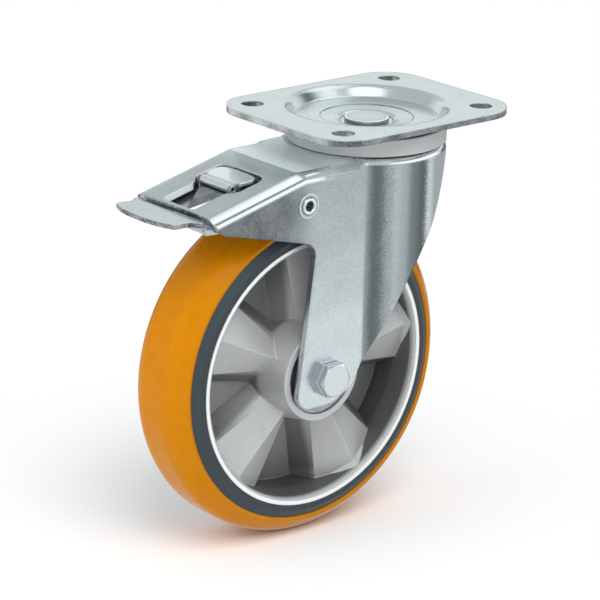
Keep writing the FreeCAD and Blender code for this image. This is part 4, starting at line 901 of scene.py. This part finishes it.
def studio_floor():
    """Pale paper round the castor that turns into plain white further out."""
    corners = [(-FLOOR_REACH, -FLOOR_REACH, FLOOR_LEVEL), (FLOOR_REACH, -FLOOR_REACH, FLOOR_LEVEL),
               (FLOOR_REACH, FLOOR_REACH, FLOOR_LEVEL), (-FLOOR_REACH, FLOOR_REACH, FLOOR_LEVEL)]
    floor = mesh_object("StudioFloor", np.array(corners), np.array([[0, 1, 2, 3]]))
    paper = bpy.data.materials.new("StudioPaper")
    paper.use_nodes = True
    tree = paper.node_tree
    shader = tree.nodes["Principled BSDF"]
    shader.inputs["Base Color"].default_value = (0.96, 0.96, 0.96, 1)
    shader.inputs["Roughness"].default_value = 0.9
    white = node(tree, "ShaderNodeEmission", Color=(1, 1, 1, 1), Strength=1.0)
    x, y, _ = object_axes(tree)
    spread = distance(tree, math_node(tree, "SUBTRACT", x, CASTOR_MIDDLE), y, 1)
    path = tree.nodes.new("ShaderNodeLightPath")
    far = math_node(tree, "MULTIPLY", ramp(tree, spread, *PAPER_FADES), path.outputs["Is Camera Ray"])
    mixed = node(tree, "ShaderNodeMixShader", i0=far, i1=shader.outputs[0], i2=white.outputs[0])
    tree.links.new(mixed.outputs[0], tree.nodes["Material Output"].inputs[0])
    floor.data.materials.append(paper)
    floor.visible_glossy = False


# Add-on

class CastorSizes(bpy.types.PropertyGroup):
    """Sizes of the detailed surfaces."""
    thread_pitch: bpy.props.FloatProperty(
        name="Thread pitch", description="Pitch of the axle bolt's thread",
        default=0.00175, subtype="DISTANCE", unit="LENGTH")
    across_flats: bpy.props.FloatProperty(
        name="Across flats", description="Width of the hexagons of bolt and nut",
        default=0.019, subtype="DISTANCE", unit="LENGTH")
    head_height: bpy.props.FloatProperty(
        name="Head height", description="Height of the bolt's head",
        default=0.0075, subtype="DISTANCE", unit="LENGTH")


class CastorColours(bpy.types.PropertyGroup):
    """Colours of the moulded pieces."""
    tread: bpy.props.FloatVectorProperty(
        name="Tread", description="Colour of the tyre",
        default=colour(200, 125, 0), size=4, subtype="COLOR")
    cover: bpy.props.FloatVectorProperty(
        name="Cover ring", description="Colour of the ring below the plate",
        default=colour(186, 189, 188), size=4, subtype="COLOR")


class CASTOR_OT_materials(bpy.types.Operator):
    """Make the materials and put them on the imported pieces"""
    bl_idname = "castor.materials"
    bl_label = "Materials"

    def execute(self, context):
        make_materials(context.scene.castor_colours)
        for material, nodes in PAINTED.items():
            for name in nodes:
                paint(name, material)
        return {"FINISHED"}


class CASTOR_OT_fasteners(bpy.types.Operator):
    """Make the axle bolt with its thread and the locking nut with its insert"""
    bl_idname = "castor.fasteners"
    bl_label = "Axle bolt and nut"

    def execute(self, context):
        axle_bolt(context.scene.castor)
        lock_nut(context.scene.castor)
        return {"FINISHED"}


class CASTOR_OT_stage(bpy.types.Operator):
    """Set up the floor, the white surroundings, the lights and the camera"""
    bl_idname = "castor.stage"
    bl_label = "Stage"

    def execute(self, context):
        scene = context.scene
        scene.view_settings.view_transform = "Standard"
        studio_floor()
        studio_world(scene)
        soft_box("KeyTop", place=(-0.45, -1.0, 1.3), target=(-0.05, 0, -0.12), size=(1.2, 1.2), power=18)
        soft_box("LeftBox", place=(-1.6, 0.3, 0.4), target=(-0.05, 0, -0.1), size=(0.9, 1.4), power=8)
        photo_camera(scene)
        return {"FINISHED"}


class CASTOR_PT_panel(bpy.types.Panel):
    """Buttons for each step of dressing the castor"""
    bl_idname = "CASTOR_PT_panel"
    bl_label = "Swivel castor"
    bl_space_type = "VIEW_3D"
    bl_region_type = "UI"
    bl_category = "Castor"

    def draw(self, context):
        for values in (context.scene.castor, context.scene.castor_colours):
            for name in values.bl_rna.properties.keys():
                if name not in ("rna_type", "name"):
                    self.layout.prop(values, name)
        for step in STEPS:
            self.layout.operator(step.bl_idname)


STEPS = (CASTOR_OT_materials, CASTOR_OT_fasteners, CASTOR_OT_stage)


def register():
    """Register the add-on's classes."""
    bpy.utils.register_class(CastorSizes)
    bpy.utils.register_class(CastorColours)
    bpy.types.Scene.castor = bpy.props.PointerProperty(type=CastorSizes)
    bpy.types.Scene.castor_colours = bpy.props.PointerProperty(type=CastorColours)
    for step in STEPS + (CASTOR_PT_panel,):
        bpy.utils.register_class(step)


def unregister():
    """Remove the add-on's classes."""
    for step in (CASTOR_PT_panel,) + STEPS[::-1]:
        bpy.utils.unregister_class(step)
    del bpy.types.Scene.castor_colours
    del bpy.types.Scene.castor
    bpy.utils.unregister_class(CastorColours)
    bpy.utils.unregister_class(CastorSizes)


def main():
    """Register the classes and run every step."""
    register()
    for step in STEPS:
        area, name = step.bl_idname.split(".")
        if getattr(getattr(bpy.ops, area), name)() != {"FINISHED"}:
            raise RuntimeError(f"{step.bl_label} failed")


if __name__ == "__main__":
    main()
